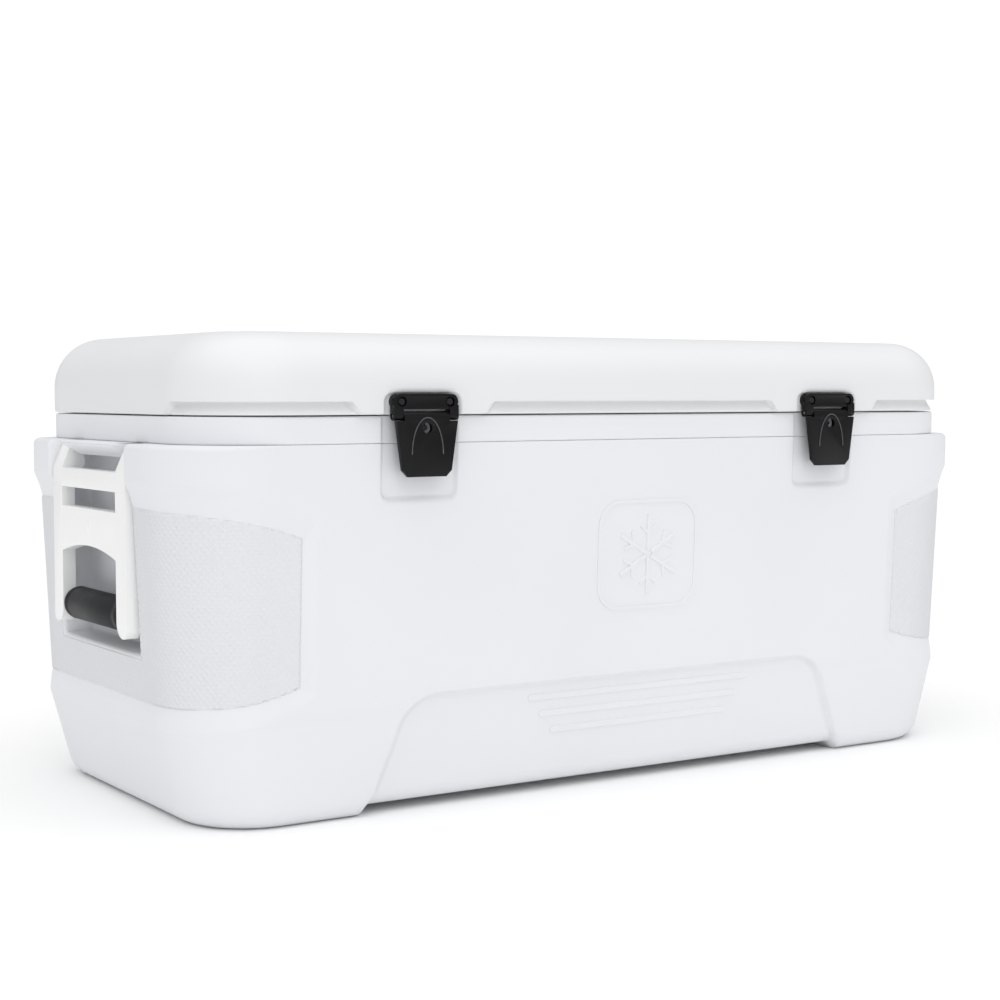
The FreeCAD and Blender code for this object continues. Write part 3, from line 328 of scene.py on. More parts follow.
def build_tub():
    along = mirrored(steps((0, 7), (206, 1.5), (213, 4), (228, 3.2), (284, 1.5), (291, 7),
                           (349, 1.8), (367, 6), (396, 6)))
    edges = (LIP_HALF, LIP_HALF + 0.03)
    pocket_edge = [POCKET_HALF + gap for gap in (-0.03, 0.0, 0.3, 0.8, 1.5, 2.3, 3.0)]
    across = mirrored(steps((0, 5), (LIP_HALF - 0.5, 0.5)) + list(edges)
                      + steps((70, 4), (96, 1)) + pocket_edge + steps((104, 4), (127, 4)))
    columns = columns_round(SHOULDER, along, across, 26)
    rows = [("keel", 0)] + [("base", inset) for inset in (170, 110, 60, 30)]
    rows += [("edge", math.pi / 2 * i / 7) for i in range(8)]
    rows += [("wall", z) for z in steps((18.5, 4), (88, 1.8), (137, 4), (149, 4))]
    rows += [("wall", z) for z in (150.6, 151.6, 152.4, 152.8, POCKET_FLOOR, 153.03)]
    rows += [("wall", z) for z in steps((157, 8), (256, 2.2), (314, 3), (330, 2))]
    rows += [("wall", z) for z in (POCKET_ROOF, 332.03, 332.6, 335, 338, 340, 340.03)]
    rows += [("shoulder", math.pi / 2 * i / 5) for i in range(6)]
    rows += [("deck", share) for share in (0.02, 0.35, 0.7, 1.0)]
    rows += [("inner", (height, (half_x, half_y, half_y - 126), inset))
             for height, half_x, half_y, inset in (
                 (DECK - 3, 441.5, 203.0, 0), (110, 441.5, 200.0, 0), (60, 438.0, 192.0, 0),
                 (20, 432.0, 184.0, 0), (20, 432.0, 184.0, 184.0))]
    return wrap("tub_moulding", columns, rows, tub_point)


# ---------------------------------------------------------------- end panels

PANEL_PITCH = 7.2                             # one diamond of the moulded grip texture
PANEL_OVERLAP = 31.0                          # how far a panel comes round onto the front
PANEL_ROWS = 110


def diamonds(along, height):
    """Height of the moulded diamond texture, 0 in its grooves and 1 on its pillows."""
    one = abs(math.cos(math.pi * (along + height) / PANEL_PITCH))
    other = abs(math.cos(math.pi * (along - height) / PANEL_PITCH))
    return min(one, other) ** 0.6


def build_end_panel(side, word):
    """The textured sheet that wraps one end inside its recess, under and beside the pocket."""
    reach_x, reach_y = SHOULDER[0] - SHOULDER[2], SHOULDER[1] - SHOULDER[2]
    quarter = SHOULDER[2] * math.pi / 2
    step = PANEL_PITCH / 4                    # four faces to a diamond, on its peaks and grooves
    count = 2 * round((PANEL_OVERLAP + quarter + reach_y) / step)
    half = count * step / 2
    rows = [PANEL_PITCH * 14 + step * i for i in range(PANEL_ROWS)]
    mesh = bmesh.new()
    bmesh.ops.create_grid(mesh, x_segments=count, y_segments=len(rows) - 1, size=1.0)
    buried = []
    for vertex in mesh.verts:
        along = vertex.co.x * half
        height = rows[round((vertex.co.y + 1) / 2 * (len(rows) - 1))]
        flank = math.copysign(1, along)
        past = abs(along) - reach_y
        if past <= 0:
            column = (side * reach_x, along, side, 0.0)
        elif past < quarter:
            turn = past / SHOULDER[2]
            column = (side * reach_x, flank * reach_y, side * math.cos(turn),
                      flank * math.sin(turn))
        else:
            column = (side * (reach_x - (past - quarter)), flank * reach_y, 0.0, flank)
        share = panel_recess(wall_distance(column, SHOULDER), height)
        if share < 0.93 or (abs(along) < POCKET_HALF + 3.4 and height > POCKET_FLOOR - 3.4):
            buried.append(vertex)
        fade = ease(share, 0.93, 1.0)
        x, y = tub_surface(column, height, 0.6 - fade * (0.72 + 1.15 * diamonds(along, height)))
        vertex.co = Vector((x, y, height)) * MM
    bmesh.ops.delete(mesh, geom=buried, context="VERTS")
    bmesh.ops.recalc_face_normals(mesh, faces=mesh.faces)
    if sum(face.normal.x for face in mesh.faces) * side < 0:
        bmesh.ops.reverse_faces(mesh, faces=mesh.faces)
    panel = finish_mesh(f"end_panel_{word}", mesh)
    sheet = panel.modifiers.new("sheet", "SOLIDIFY")
    sheet.thickness = 1.2 * MM
    sheet.offset = -1.0
    return panel


# ---------------------------------------------------------------- rim and liner

def rim_point(column, row):
    """A row of the rim and liner is a form, a height and how far inside the form it lies."""
    form, height, inset = row
    x, y = stand(refit(column, RIM, form), form, inset)
    if form is RIM and y < 0 and abs(column[3]) > 0.99:
        seat = LATCH_SEAT_DEPTH * latch_seat(column[0], FAR)
        y = max(y, -RIM[1] + seat + (0.0 if inset < 3 else 0.3))
    return x, y, height


def build_rim():
    """The turned-over rim, its deck, the drafted well and its floor, as one closed moulding."""
    mouth = (436.0, 192.0, 66.0)
    floor = (426.0, 178.0, 58.0)
    outside = (439.0, 195.0, 69.0)
    below = (429.0, 181.0, 61.0)
    along = mirrored(steps((0, 9), (206, 1.5), (213, 12), (284, 1.5), (291, 9),
                           (RIM[0] - RIM[2], 9)))
    across = mirrored(steps((0, 10), (RIM[1] - RIM[2], 10)))
    columns = columns_round(RIM, along, across, 24)
    foot = (RIM, DECK + 0.25, 1.0)
    rows = [foot, (RIM, DECK + 1.2, 0.15), (RIM, DECK + 2.4, 0.0), (RIM, 359, 0.0),
            (RIM, RIM_TOP - 2.5, 0.0)]
    rows += [(RIM, RIM_TOP - 2.5 * (1 - math.sin(a)), 2.5 * (1 - math.cos(a)))
             for a in (0.4, 0.8, 1.2, math.pi / 2)]
    rows += [(RIM, RIM_TOP, 12.0), (mouth, RIM_TOP, -6.0)]
    rows += [(mouth, RIM_TOP - 6 * (1 - math.cos(a)), -6 * (1 - math.sin(a)))
             for a in (0.3, 0.6, 0.9, 1.2, math.pi / 2)]
    for level in (0.1, 0.3, 0.5, 0.7, 0.85):
        sunk = tuple(top + (bottom - top) * level for top, bottom in zip(mouth, floor))
        rows.append((sunk, 365 - (365 - 52) * level, 0.0))
    well_floor, round_floor = 30.0, 22.0
    rows += [(floor, well_floor + round_floor * (1 - math.sin(a)), round_floor * (1 - math.cos(a)))
             for a in (0.0, 0.26, 0.52, 0.78, 1.05, 1.31, math.pi / 2)]
    rows += [(floor, well_floor, inset) for inset in (60, 110, floor[1])]
    middle = len(rows) - 1
    rows += [(below, 27.0, inset) for inset in (below[1], 100, 24)]
    rows += [(below, 36.0, 4.0), (below, 50.0, 0.0), (outside, 350.0, 0.0),
             (outside, RIM_TOP - 3, -2.0), (RIM, RIM_TOP - 3, 8.0), (RIM, DECK + 0.4, 8.0), foot]
    return wrap("rim_and_liner", columns, opened(rows, middle), rim_point)


def build_foam():
    """The tub's foam, poured between the shell and the liner."""
    shell = (441.0, 199.0, 74.0)
    liner = (429.6, 181.6, 61.0)
    mouth = (438.6, 194.6, 68.6)
    rows = [(shell, 21.0, 14.0), (shell, 60.0, 9.0), (shell, 110.0, 1.0), (shell, 342.0, 0.0),
            (mouth, 342.0, 0.4), (liner, 40.0, 0.4), (liner, 26.0, 6.0), (liner, 26.0, liner[1])]
    rows.insert(0, (shell, 21.0, shell[1]))
    along = mirrored(steps((0, 60), (RIM[0] - RIM[2], 60)))
    across = mirrored(steps((0, 60), (RIM[1] - RIM[2], 60)))
    return wrap("tub_foam_fill", columns_round(RIM, along, across, 10), rows, rim_point)


# ---------------------------------------------------------------- lid

SLOT_TOP, SLOT_DEPTH = 384.0, 9.5             # the finger slots under the lid's edge
SLOT_MIDDLE_HALF, SLOT_OUTER_START = 180.0, 312.0
SLOT_SLANT, SLOT_EDGE = 0.9, 1.6              # their ends slope as they rise, and blend out
LID_FOOT = LID_LOW.z
LID_EDGE = 50.0


def finger_slot(column, form, height):
    """1 where a finger slot runs under the lid's edge, with sloped ends."""
    x, y, face_x, face_y = column
    if face_y > 0.02 or (y > 0 and abs(face_y) < 0.02):
        return 0.0
    distance = wall_distance(column, form)
    slope = (height - LID_FOOT) * SLOT_SLANT
    middle = ramp(SLOT_MIDDLE_HALF - slope - distance, 0, SLOT_EDGE)
    corner_end = form[0] - form[2] + form[2] * math.pi / 2 - 1
    outer = min(ramp(distance - SLOT_OUTER_START - slope, 0, SLOT_EDGE),
                ramp(corner_end - slope - distance, 0, SLOT_EDGE))
    return max(middle, outer)


def lid_inset(column, height):
    """How deep the finger slots and the latch recesses cut into the lid's edge."""
    depth = 0.0
    if height < SLOT_TOP:
        slant = 3.0 + (SLOT_DEPTH - 3.0) * ramp(height, LID_FOOT, SLOT_TOP - 1)
        depth = slant * finger_slot(column, LID, height)
    if column[3] < -0.99:
        seat = latch_seat(column[0], FAR, LID_SEAT_TOP - height)
        depth = max(depth, LID_SEAT_DEPTH * seat)
    return depth


def lid_point(column, row):
    """A row of the lid is skin or inner face, a height and how far inside the outline it is."""
    stage, height, inset = row
    if stage == "skin":
        x, y = stand(column, LID, inset + lid_inset(column, height))
    else:
        x, y = stand(column, LID, inset)
    return x, y, height


def lid_columns():
    along = mirrored(steps((0, 8), (166, 1.6), (184, 7), (204, 1.5), (214, 7), (283, 1.5),
                           (292, 6), (310, 1.6), (330, 8), (LID[0] - LID[2], 8)))
    across = mirrored(steps((0, 9), (LID[1] - LID[2], 9)))
    return columns_round(LID, along, across, 44)


def build_lid():
    """The lid's crowned shell, closed inside over its foam."""
    columns = lid_columns()
    crown = 3.0
    shoulder = LID_HIGH.z - crown - LID_EDGE
    rows = [("skin", LID_FOOT + 1.0, 4.5), ("skin", LID_FOOT, 3.6), ("skin", LID_FOOT, 1.6),
            ("skin", LID_FOOT + 0.5, 0.4), ("skin", LID_FOOT + 1.5, 0.0)]
    rows += [("skin", z, 0.0) for z in steps((375, 2.2), (SLOT_TOP - 0.6, 0.5))]
    rows += [("skin", SLOT_TOP - 0.02, 0.0), ("skin", SLOT_TOP + 0.02, 0.0),
             ("skin", SLOT_TOP + 0.5, 0.0), ("skin", SLOT_TOP + 1.4, 0.0)]
    rows += [("skin", z, 0.0) for z in (387, 388.6, 390, 391.2, 392.2, 393.2)]
    turns = 16
    rows += [("skin", shoulder + LID_EDGE * math.sin(math.pi / 2 * i / turns),
              LID_EDGE * (1 - math.cos(math.pi / 2 * i / turns))) for i in range(turns + 1)]
    for inset in (62, 80, 105, 135, 165, 195, LID[1]):
        share = (inset - LID_EDGE) / (LID[1] - LID_EDGE)
        rows.append(("skin", LID_HIGH.z - crown * (1 - share) ** 2, inset))
    middle = len(rows) - 1
    rows += [("inner", LID_HIGH.z - 8, inset) for inset in (LID[1], 70)]
    rows += [("inner", 425, 22), ("inner", 395, 16), ("inner", 376, 15.5), rows[0]]
    return wrap("lid_moulding", columns, opened(rows, middle), lid_point)


def pan_point(column, row):
    form, height, inset = row
    if form is LID:
        inset += (SLOT_DEPTH - 2) * finger_slot(column, LID, LID_FOOT)
        if column[3] < -0.99:
            inset += 2.0 * latch_seat(column[0], FAR)
        return *stand(column, LID, inset), height
    return *stand(refit(column, LID, form), form, inset), height


def build_pan():
    """The lid's inner pan: a flat flange, a plug with a rounded edge and a raised middle."""
    plug = (431.0, 187.0, 61.0)
    bottom = RIM_TOP - 10
    rows = [(LID, 376.5, 5.2), (LID, LID_FOOT + 0.9, 4.6), (LID, LID_FOOT + 0.3, 5.2),
            (LID, LID_FOOT + 0.3, 14), (plug, LID_FOOT + 0.3, -5)]
    rows += [(plug, LID_FOOT + 0.3 - 4 * math.sin(a), -4 * math.cos(a)) for a in (0.3, 0.8, 1.2)]
    rows += [(plug, bottom + 6 * (1 - math.sin(a)), 6 * (1 - math.cos(a)))
             for a in (0.0, 0.4, 0.8, 1.2, math.pi / 2)]
    rows += [(plug, bottom, 24), (plug, bottom + 0.5, 26.5), (plug, bottom + 1.9, 31),
             (plug, bottom + 2.4, 34), (plug, bottom + 2.4, 90), (plug, bottom + 2.4, plug[1])]
    middle = len(rows) - 1
    rows += [(plug, 376.5, plug[1]), (plug, 376.5, 40), rows[0]]
    return wrap("lid_pan", lid_columns(), opened(rows, middle), pan_point)


# ---------------------------------------------------------------- small fittings

BOW_HALF = 16.5                               # half width of the bow moulded on a lever


def softened(node, name, width, segments=2):
    """A copy of a CAD node with its sharp edges rounded over, as a moulding or pressing has."""
    source = frame["nodes"][node]
    mesh = bmesh.new()
    mesh.from_mesh(source.data)
    bmesh.ops.remove_doubles(mesh, verts=mesh.verts, dist=0.01 * MM)
    bmesh.ops.dissolve_limit(mesh, angle_limit=math.radians(1.5), verts=mesh.verts,
                             edges=mesh.edges)
    bmesh.ops.recalc_face_normals(mesh, faces=mesh.faces)
    thing = finish_mesh(name, mesh)
    edge = thing.modifiers.new("edge", "BEVEL")
    edge.width = width * MM
    edge.segments = segments
    edge.limit_method = "ANGLE"
    edge.angle_limit = math.radians(32)
    edge.harden_normals = True
    return thing


def turned(name, profile, centre, axis, count=48):
    """A closed shape turned from a profile of (radius, distance along) round an axis."""
    mesh = bmesh.new()
    points = [mesh.verts.new((radius * MM, 0, along * MM)) for radius, along in profile]
    edges = [mesh.edges.new(pair) for pair in zip(points, points[1:])]
    bmesh.ops.spin(mesh, geom=points + edges, cent=(0, 0, 0), axis=(0, 0, 1),
                   angle=2 * math.pi, steps=count, use_merge=True)
    bmesh.ops.remove_doubles(mesh, verts=mesh.verts, dist=0.005 * MM)
    bmesh.ops.recalc_face_normals(mesh, faces=mesh.faces)
    turn = Vector((0, 0, 1)).rotation_difference(Vector(axis)).to_matrix().to_4x4()
    mesh.transform(Matrix.Translation(Vector(centre) * MM) @ turn)
    return finish_mesh(name, mesh)


def raised(name, outline, depth, place, radius=0.5):
    """A flat closed outline of (across, up) points, given a thickness and rounded edges, then
    laid where place says; it faces the direction that place's third column gives."""
    mesh = bmesh.new()
    corners = [mesh.verts.new((across * MM, up * MM, 0)) for across, up in outline]
    face = mesh.faces.new(corners)
    bmesh.ops.recalc_face_normals(mesh, faces=[face])
    if face.normal.z < 0:
        face.normal_flip()
    lifted = bmesh.ops.extrude_face_region(mesh, geom=[face])["geom"]
    top = [v for v in lifted if isinstance(v, bmesh.types.BMVert)]
    bmesh.ops.translate(mesh, verts=top, vec=(0, 0, depth * MM))
    bmesh.ops.recalc_face_normals(mesh, faces=mesh.faces)
    rim = [e for e in mesh.edges if all(v in top for v in e.verts)]
    bmesh.ops.bevel(mesh, geom=rim, offset=radius * MM, segments=2, profile=0.5, material=-1,
                    affect="EDGES")
    mesh.transform(place)
    return finish_mesh(name, mesh, smooth=False)


def front_place(x, height, sunk):
    """Where a raised device sits on the drafted front: its across, up and outward directions."""
    column = (x, -(SHOULDER[1] - SHOULDER[2]), 0.0, -1.0)
    _, y = tub_surface(column, height)
    lean = math.atan(DRAFT)
    outward = Vector((0, -math.cos(lean), -math.sin(lean)))
    up = Vector((0, -math.sin(lean), math.cos(lean)))
    across = up.cross(outward)
    turn = Matrix((across, up, outward)).transposed().to_4x4()
    return Matrix.Translation((Vector((x, y, height)) - outward * sunk) * MM) @ turn


def arc_points(centre, radius, start, end, count):
    """Points along part of a circle; the angles are in degrees."""
    return [(centre[0] + radius * math.cos(math.radians(start + (end - start) * i / count)),
             centre[1] + radius * math.sin(math.radians(start + (end - start) * i / count)))
            for i in range(count + 1)]


def rounded_box(half_x, half_y, radius, count=8):
    points = []
    for start, sign_x, sign_y in ((0, 1, 1), (90, -1, 1), (180, -1, -1), (270, 1, -1)):
        points += arc_points((sign_x * (half_x - radius), sign_y * (half_y - radius)), radius,
                             start, start + 90, count)
    return points


def bar(foot, way, length, half):
    """The outline of a straight bar that leaves a point and goes that way."""
    tip = (foot[0] + way[0] * length, foot[1] + way[1] * length)
    side = (-way[1] * half, way[0] * half)
    return [(foot[0] + side[0], foot[1] + side[1]), (tip[0] + side[0], tip[1] + side[1]),
            (tip[0] - side[0], tip[1] - side[1]), (foot[0] - side[0], foot[1] - side[1])]


def ring(outer, inner, depth, place):
    """A raised frame between two outlines, as one short bar for each of their sides."""
    after = [(i + 1) % len(outer) for i in range(len(outer))]
    return [raised("side", [outer[i], outer[j], inner[j], inner[i]], depth, place, 0.01)
            for i, j in enumerate(after)]


def joined(name, pieces):
    """Several meshes made one object."""
    mesh = bmesh.new()
    for piece in pieces:
        mesh.from_mesh(piece.data)
        bpy.data.objects.remove(piece)
    return finish_mesh(name, mesh, smooth=False)


def build_badge():
    """A raised badge on the front: a round-cornered frame with a six-armed ice crystal."""
    x, height = 19.0, 231.0
    place = front_place(x, height, 1.0)
    pieces = ring(rounded_box(62, 55, 26, 10), rounded_box(58.5, 51.5, 22.5, 10), 2.0, place)
    for arm in range(6):
        turn = math.radians(60 * arm + 30)
        along = (math.cos(turn), math.sin(turn))
        pieces.append(raised("arm", bar((along[0] * 4, along[1] * 4), along, 36, 2.2),
                             2.3, place, 0.6))
        fork = (along[0] * 21, along[1] * 21)
        for lean in (-0.9, 0.9):
            way = (math.cos(turn + lean), math.sin(turn + lean))
            pieces.append(raised("twig", bar(fork, way, 13, 1.7), 2.2, place, 0.5))
    return joined("front_badge", pieces)


def build_ribs():
    """Three low moulded ribs across the front plate."""
    pieces = []
    for row, (left, right) in enumerate(((-118, 160), (-104, 146), (-90, 132))):
        height = 96 - 17.0 * row
        middle, half = (left + right) / 2, (right - left) / 2
        pieces.append(raised("rib", rounded_box(half, 3.2, 3.1, 6),
                             2.2, front_place(middle, height, 1.0), 0.7))
    return joined("front_ribs", pieces)


def build_bow(word, side):
    """The thin raised bow moulded on a latch lever, over the eye that shows its keeper."""
    low, _ = span(f"latch_lever_{word}")
    eye = sum(span(f"latch_keeper_{word}"), Vector()).z / 2
    middle, top, foot = side * LATCH_X, eye + 9.5, eye - 24.0
    face = Matrix.Translation(Vector((middle, low.y + 0.25, 0)) * MM) @ Matrix(
        ((1, 0, 0), (0, 0, -1), (0, 1, 0))).to_4x4()
    count, thick = 20, 0.5

    def edge(step, grown):
        turn = math.pi * (step / count - 0.5)
        return (BOW_HALF + grown) * math.sin(turn), foot + (top + grown - foot) * math.cos(turn)

    pieces = [raised("bow", [edge(i, thick), edge(i + 1, thick), edge(i + 1, -thick),
                             edge(i, -thick)], 0.75, face, 0.01) for i in range(count)]
    return joined(f"lever_bow_{word}", pieces)


def build_grip(word):
    """A carrying handle's rubber sleeve, with rounded ends and two fine rings near each end."""
    low, high = span(f"handle_grip_{word}")
    middle, half, radius = (low + high) / 2, (high.y - low.y) / 2, (high.z - low.z) / 2
    core, end, groove = 10.0, 6.0, 0.5
    profile = [(core, -half)]
    profile += [(radius - end + end * math.sin(turn), -half + end - end * math.cos(turn))
                for turn in (math.pi / 2 * i / 8 for i in range(9))]
    for place in (-half + 11, -half + 14):
        profile += [(radius, place - 0.6), (radius - groove, place), (radius, place + 0.6)]
    profile += [(across, -along) for across, along in reversed(profile)]
    return turned(f"grip_{word}", profile + [profile[0]], middle, (0, 1, 0), 64)


def build_icon(side, word):
    """A small moulded sign on the handle's plate: an arrow in a frame, for lifting."""
    low, high = span(f"handle_frame_{word}")
    face = low.x if side < 0 else high.x
    place = Matrix.Translation(Vector((face - side * 0.3, 0, 263)) * MM) @ Matrix(
        ((0, 0, side), (side, 0, 0), (0, 1, 0))).to_4x4()
    pieces = ring(rounded_box(6.5, 8.5, 3.0, 5), rounded_box(5.7, 7.7, 2.2, 5), 0.7, place)
    pieces.append(raised("stem", [(-0.6, -4), (0.6, -4), (0.6, 1), (-0.6, 1)], 0.7, place, 0.1))
    pieces.append(raised("head", [(-2.6, 1), (2.6, 1), (0, 4.6)], 0.7, place, 0.1))
    return joined(f"handle_sign_{word}", pieces)


# ---------------------------------------------------------------- finishes

def linear(code):
    """A linear colour from an sRGB hex value."""
    channels = [int(code[i:i + 2], 16) / 255 for i in (1, 3, 5)]
    return tuple(c / 12.92 if c <= 0.04045 else ((c + 0.055) / 1.055) ** 2.4
                 for c in channels) + (1.0,)


def add(tree, kind, links=(), **settings):
    """One node, its settings, and its links as (input, node, output)."""
    made = tree.nodes.new(kind)
    for name, value in settings.items():
        if name.startswith("in_"):
            made.inputs[name[3:].replace("_", " ")].default_value = value
        else:
            setattr(made, name, value)
    for socket, source, output in links:
        tree.links.new(source.outputs[output], made.inputs[socket])
    return made


def new_finish(name, colour, roughness, metallic=0.0, ior=1.5):
    """A material with its shader, and the object's own coordinates to draw patterns on."""
    material = bpy.data.materials.new(name)
    material.use_nodes = True
    tree = material.node_tree
    tree.nodes.clear()
    shader = add(tree, "ShaderNodeBsdfPrincipled")
    shader.inputs["Base Color"].default_value = linear(colour)
    shader.inputs["Roughness"].default_value = roughness
    shader.inputs["Metallic"].default_value = metallic
    if not metallic:
        shader.inputs["IOR"].default_value = ior
    add(tree, "ShaderNodeOutputMaterial", [("Surface", shader, "BSDF")])
    return material, tree, shader, add(tree, "ShaderNodeTexCoord")


def grain(tree, place, size, detail=2.0, rough=0.5):
    """Noise whose features are that many millimetres across."""
    return add(tree, "ShaderNodeTexNoise", [("Vector", place, "Object")],
               in_Scale=1000.0 / size, in_Detail=detail, in_Roughness=rough)


def mottle(tree, shader, source, dark, light):
    """Colour that drifts between two close shades."""
    mixed = add(tree, "ShaderNodeMix", [("Factor", source, "Fac")], data_type="RGBA")
    mixed.inputs[6].default_value = linear(dark)
    mixed.inputs[7].default_value = linear(light)
    tree.links.new(mixed.outputs[2], shader.inputs["Base Color"])


def vary_roughness(tree, shader, source, low, high):
    spread = add(tree, "ShaderNodeMapRange", [("Value", source, "Fac")],
                 in_To_Min=low, in_To_Max=high)
    tree.links.new(spread.outputs["Result"], shader.inputs["Roughness"])


def bump(tree, shader, source, depth, output="Fac", under=None):
    """Relief of that many millimetres from a pattern."""
    relief = add(tree, "ShaderNodeBump", [("Height", source, output)],
                 in_Distance=depth * MM, in_Strength=1.0)
    if under:
        tree.links.new(under.outputs["Normal"], relief.inputs["Normal"])
    tree.links.new(relief.outputs["Normal"], shader.inputs["Normal"])
    return relief


def polyethylene_moulded():
    """White high-density polyethylene from a sand-blasted mould: satin, with a very fine grain
    and slow waves where the thick wall shrank, which break up its long soft highlights."""
    material, tree, shader, place = new_finish("hdpe_moulded_white", "#E9EBEE", 0.46, ior=1.52)
    waves = grain(tree, place, 190, 1.0)
    fine = grain(tree, place, 1.6, 3.0, 0.6)      # blast grain, drawn coarse enough to show
    mottle(tree, shader, waves, "#E6E8EC", "#EDEEF1")
    vary_roughness(tree, shader, fine, 0.40, 0.54)
    sunk = bump(tree, shader, waves, 0.35)
    bump(tree, shader, fine, 0.035, under=sunk)
    return material


def polyethylene_lid():
    """The lid's white polyethylene: the same grain, a shade lighter and a little glossier, so
    its crown catches a broad highlight."""
    material, tree, shader, place = new_finish("hdpe_lid_white", "#E9EAEC", 0.4, ior=1.52)
    waves = grain(tree, place, 230, 1.0)
    fine = grain(tree, place, 1.8, 3.0, 0.6)
    mottle(tree, shader, waves, "#E7E8EA", "#ECEDEE")
    vary_roughness(tree, shader, fine, 0.34, 0.47)
    sunk = bump(tree, shader, waves, 0.4)
    bump(tree, shader, fine, 0.03, under=sunk)
    return material


def polystyrene_liner():
    """Vacuum-formed white liner: smoother and glossier than the outside, with faint stretch
    marks and a slightly warm white."""
    material, tree, shader, place = new_finish("liner_formed_white", "#F6F6F5", 0.28, ior=1.55)
    stretch = grain(tree, place, 60, 2.0)
    mottle(tree, shader, stretch, "#F3F4F2", "#F8F8F7")
    vary_roughness(tree, shader, stretch, 0.22, 0.34)
    bump(tree, shader, stretch, 0.12)
    return material


def handle_plastic():
    """White polypropylene handle, polished by hands: satin with faint flow marks."""
    material, tree, shader, place = new_finish("polypropylene_moulded_white", "#F8F8F8", 0.36)
    flow = grain(tree, place, 24, 2.0)
    fine = grain(tree, place, 1.4, 2.0)
    mottle(tree, shader, flow, "#F6F6F6", "#FAFAF9")
    vary_roughness(tree, shader, flow, 0.30, 0.44)
    bump(tree, shader, fine, 0.02)
    return material


def latch_nylon():
    """Black glass-filled nylon: satin, spark-eroded grain, with paler rubbed patches."""
    material, tree, shader, place = new_finish("nylon_moulded_black", "#09090B", 0.34, ior=1.53)
    shader.inputs["Specular IOR Level"].default_value = 0.2
    rubbed_and_painted_highlight = grain(tree, place, 14, 3.0)
    spark = grain(tree, place, 0.9, 2.0)
    mottle(tree, shader, rubbed_and_painted_highlight, "#070708", "#0D0C10")
    vary_roughness(tree, shader, rubbed_and_painted_highlight, 0.30, 0.46)
    bump(tree, shader, spark, 0.05)
    return material


def nylon_painted_highlight():
    """Black nylon given a painted highlight, for a lever's raised bow: greyer and smoother than
    the plate.
    """
    material, tree, shader, place = new_finish("nylon_painted_highlight_grey", "#4A4A50", 0.3, ior=1.53)
    highlight_mottle = grain(tree, place, 5, 3.0)
    mottle(tree, shader, highlight_mottle, "#2E2E33", "#66666C")
    vary_roughness(tree, shader, highlight_mottle, 0.24, 0.4)
    return material


def grip_rubber():
    """Black thermoplastic rubber: matte, soft-looking, with a pebbled skin."""
    material, tree, shader, place = new_finish("rubber_moulded_black", "#17181C", 0.55, ior=1.5)
    shader.inputs["Specular IOR Level"].default_value = 0.35
    dust = grain(tree, place, 20, 3.0)
    pebble = add(tree, "ShaderNodeTexVoronoi", [("Vector", place, "Object")],
                 in_Scale=1000 / 1.5)
    mottle(tree, shader, dust, "#131417", "#1D1E23")
    vary_roughness(tree, shader, dust, 0.48, 0.66)
    bump(tree, shader, pebble, 0.08, "Distance")
    return material


def stainless_steel():
    """Drawn and headed stainless steel: fine lines along the piece and a bright soft shine."""
    material, tree, shader, place = new_finish("stainless_brushed", "#B9B8B4", 0.3, metallic=1.0)
    lines = add(tree, "ShaderNodeMapping", [("Vector", place, "Object")],
                in_Scale=(1.0, 1.0, 14.0))
    fine = add(tree, "ShaderNodeTexNoise", [("Vector", lines, "Vector")],
               in_Scale=260.0, in_Detail=3.0)
    mottle(tree, shader, fine, "#A9A8A4", "#C6C5C1")
    vary_roughness(tree, shader, fine, 0.22, 0.38)
    bump(tree, shader, fine, 0.01)
    return material


def blackened_steel():
    """Screw heads in black-oxide steel: dark, with a sharp glint on their rounded edges."""
    material, tree, shader, place = new_finish("steel_black_oxide", "#26262A", 0.24, metallic=0.6)
    oxide = grain(tree, place, 3.0, 3.0)
    mottle(tree, shader, oxide, "#1C1C1F", "#303035")
    vary_roughness(tree, shader, oxide, 0.18, 0.34)
    bump(tree, shader, oxide, 0.02)
    return material


def foam_core():
    """Pale yellow rigid polyurethane foam: matte with small open cells."""
    material, tree, shader, place = new_finish("polyurethane_foamed", "#E0D8A4", 0.9)
    cells = add(tree, "ShaderNodeTexVoronoi", [("Vector", place, "Object")],
                in_Scale=1000 / 2.5)
    shade = grain(tree, place, 30, 2.0)
    mottle(tree, shader, shade, "#D9CF96", "#E8E1B4")
    vary_roughness(tree, shader, shade, 0.85, 0.95)
    bump(tree, shader, cells, 0.3, "Distance")
    return material


def seal_rubber():
    """Black nitrile rubber seal: matte with a faint bloom."""
    material, tree, shader, place = new_finish("nitrile_seal_black", "#232324", 0.6)
    bloom = grain(tree, place, 5, 3.0)
    mottle(tree, shader, bloom, "#1D1D1E", "#2B2B2C")
    vary_roughness(tree, shader, bloom, 0.5, 0.7)
    bump(tree, shader, bloom, 0.03)
    return material


# ---------------------------------------------------------------- put the chest together

white, lid_white, liner_white = polyethylene_moulded(), polyethylene_lid(), polystyrene_liner()
handle_white, nylon, rubber = handle_plastic(), latch_nylon(), grip_rubber()
steel, foam, seal = stainless_steel(), foam_core(), seal_rubber()
# the second finish here is black nylon painted grey, a painted highlight for the levers' bows
black_steel, rubbed_and_painted_highlight = blackened_steel(), nylon_painted_highlight()

SIDES = ((-1, "left"), (1, "right"))
dress(build_tub(), white, "tub", "shell_white", "tub_shell")
for side, word in SIDES:
    dress(build_end_panel(side, word), white, "tub", "shell_white")
dress(build_badge(), white, "tub", "shell_white")
dress(build_ribs(), white, "tub", "shell_white")
dress(build_rim(), white, "tub", "liner_white", "tub_liner")
dress(build_foam(), foam, "tub", "foam", "tub_foam")
dress(build_lid(), lid_white, "lid", "lid_white", "lid_shell")
dress(build_pan(), liner_white, "lid", "liner_white", "lid_liner")

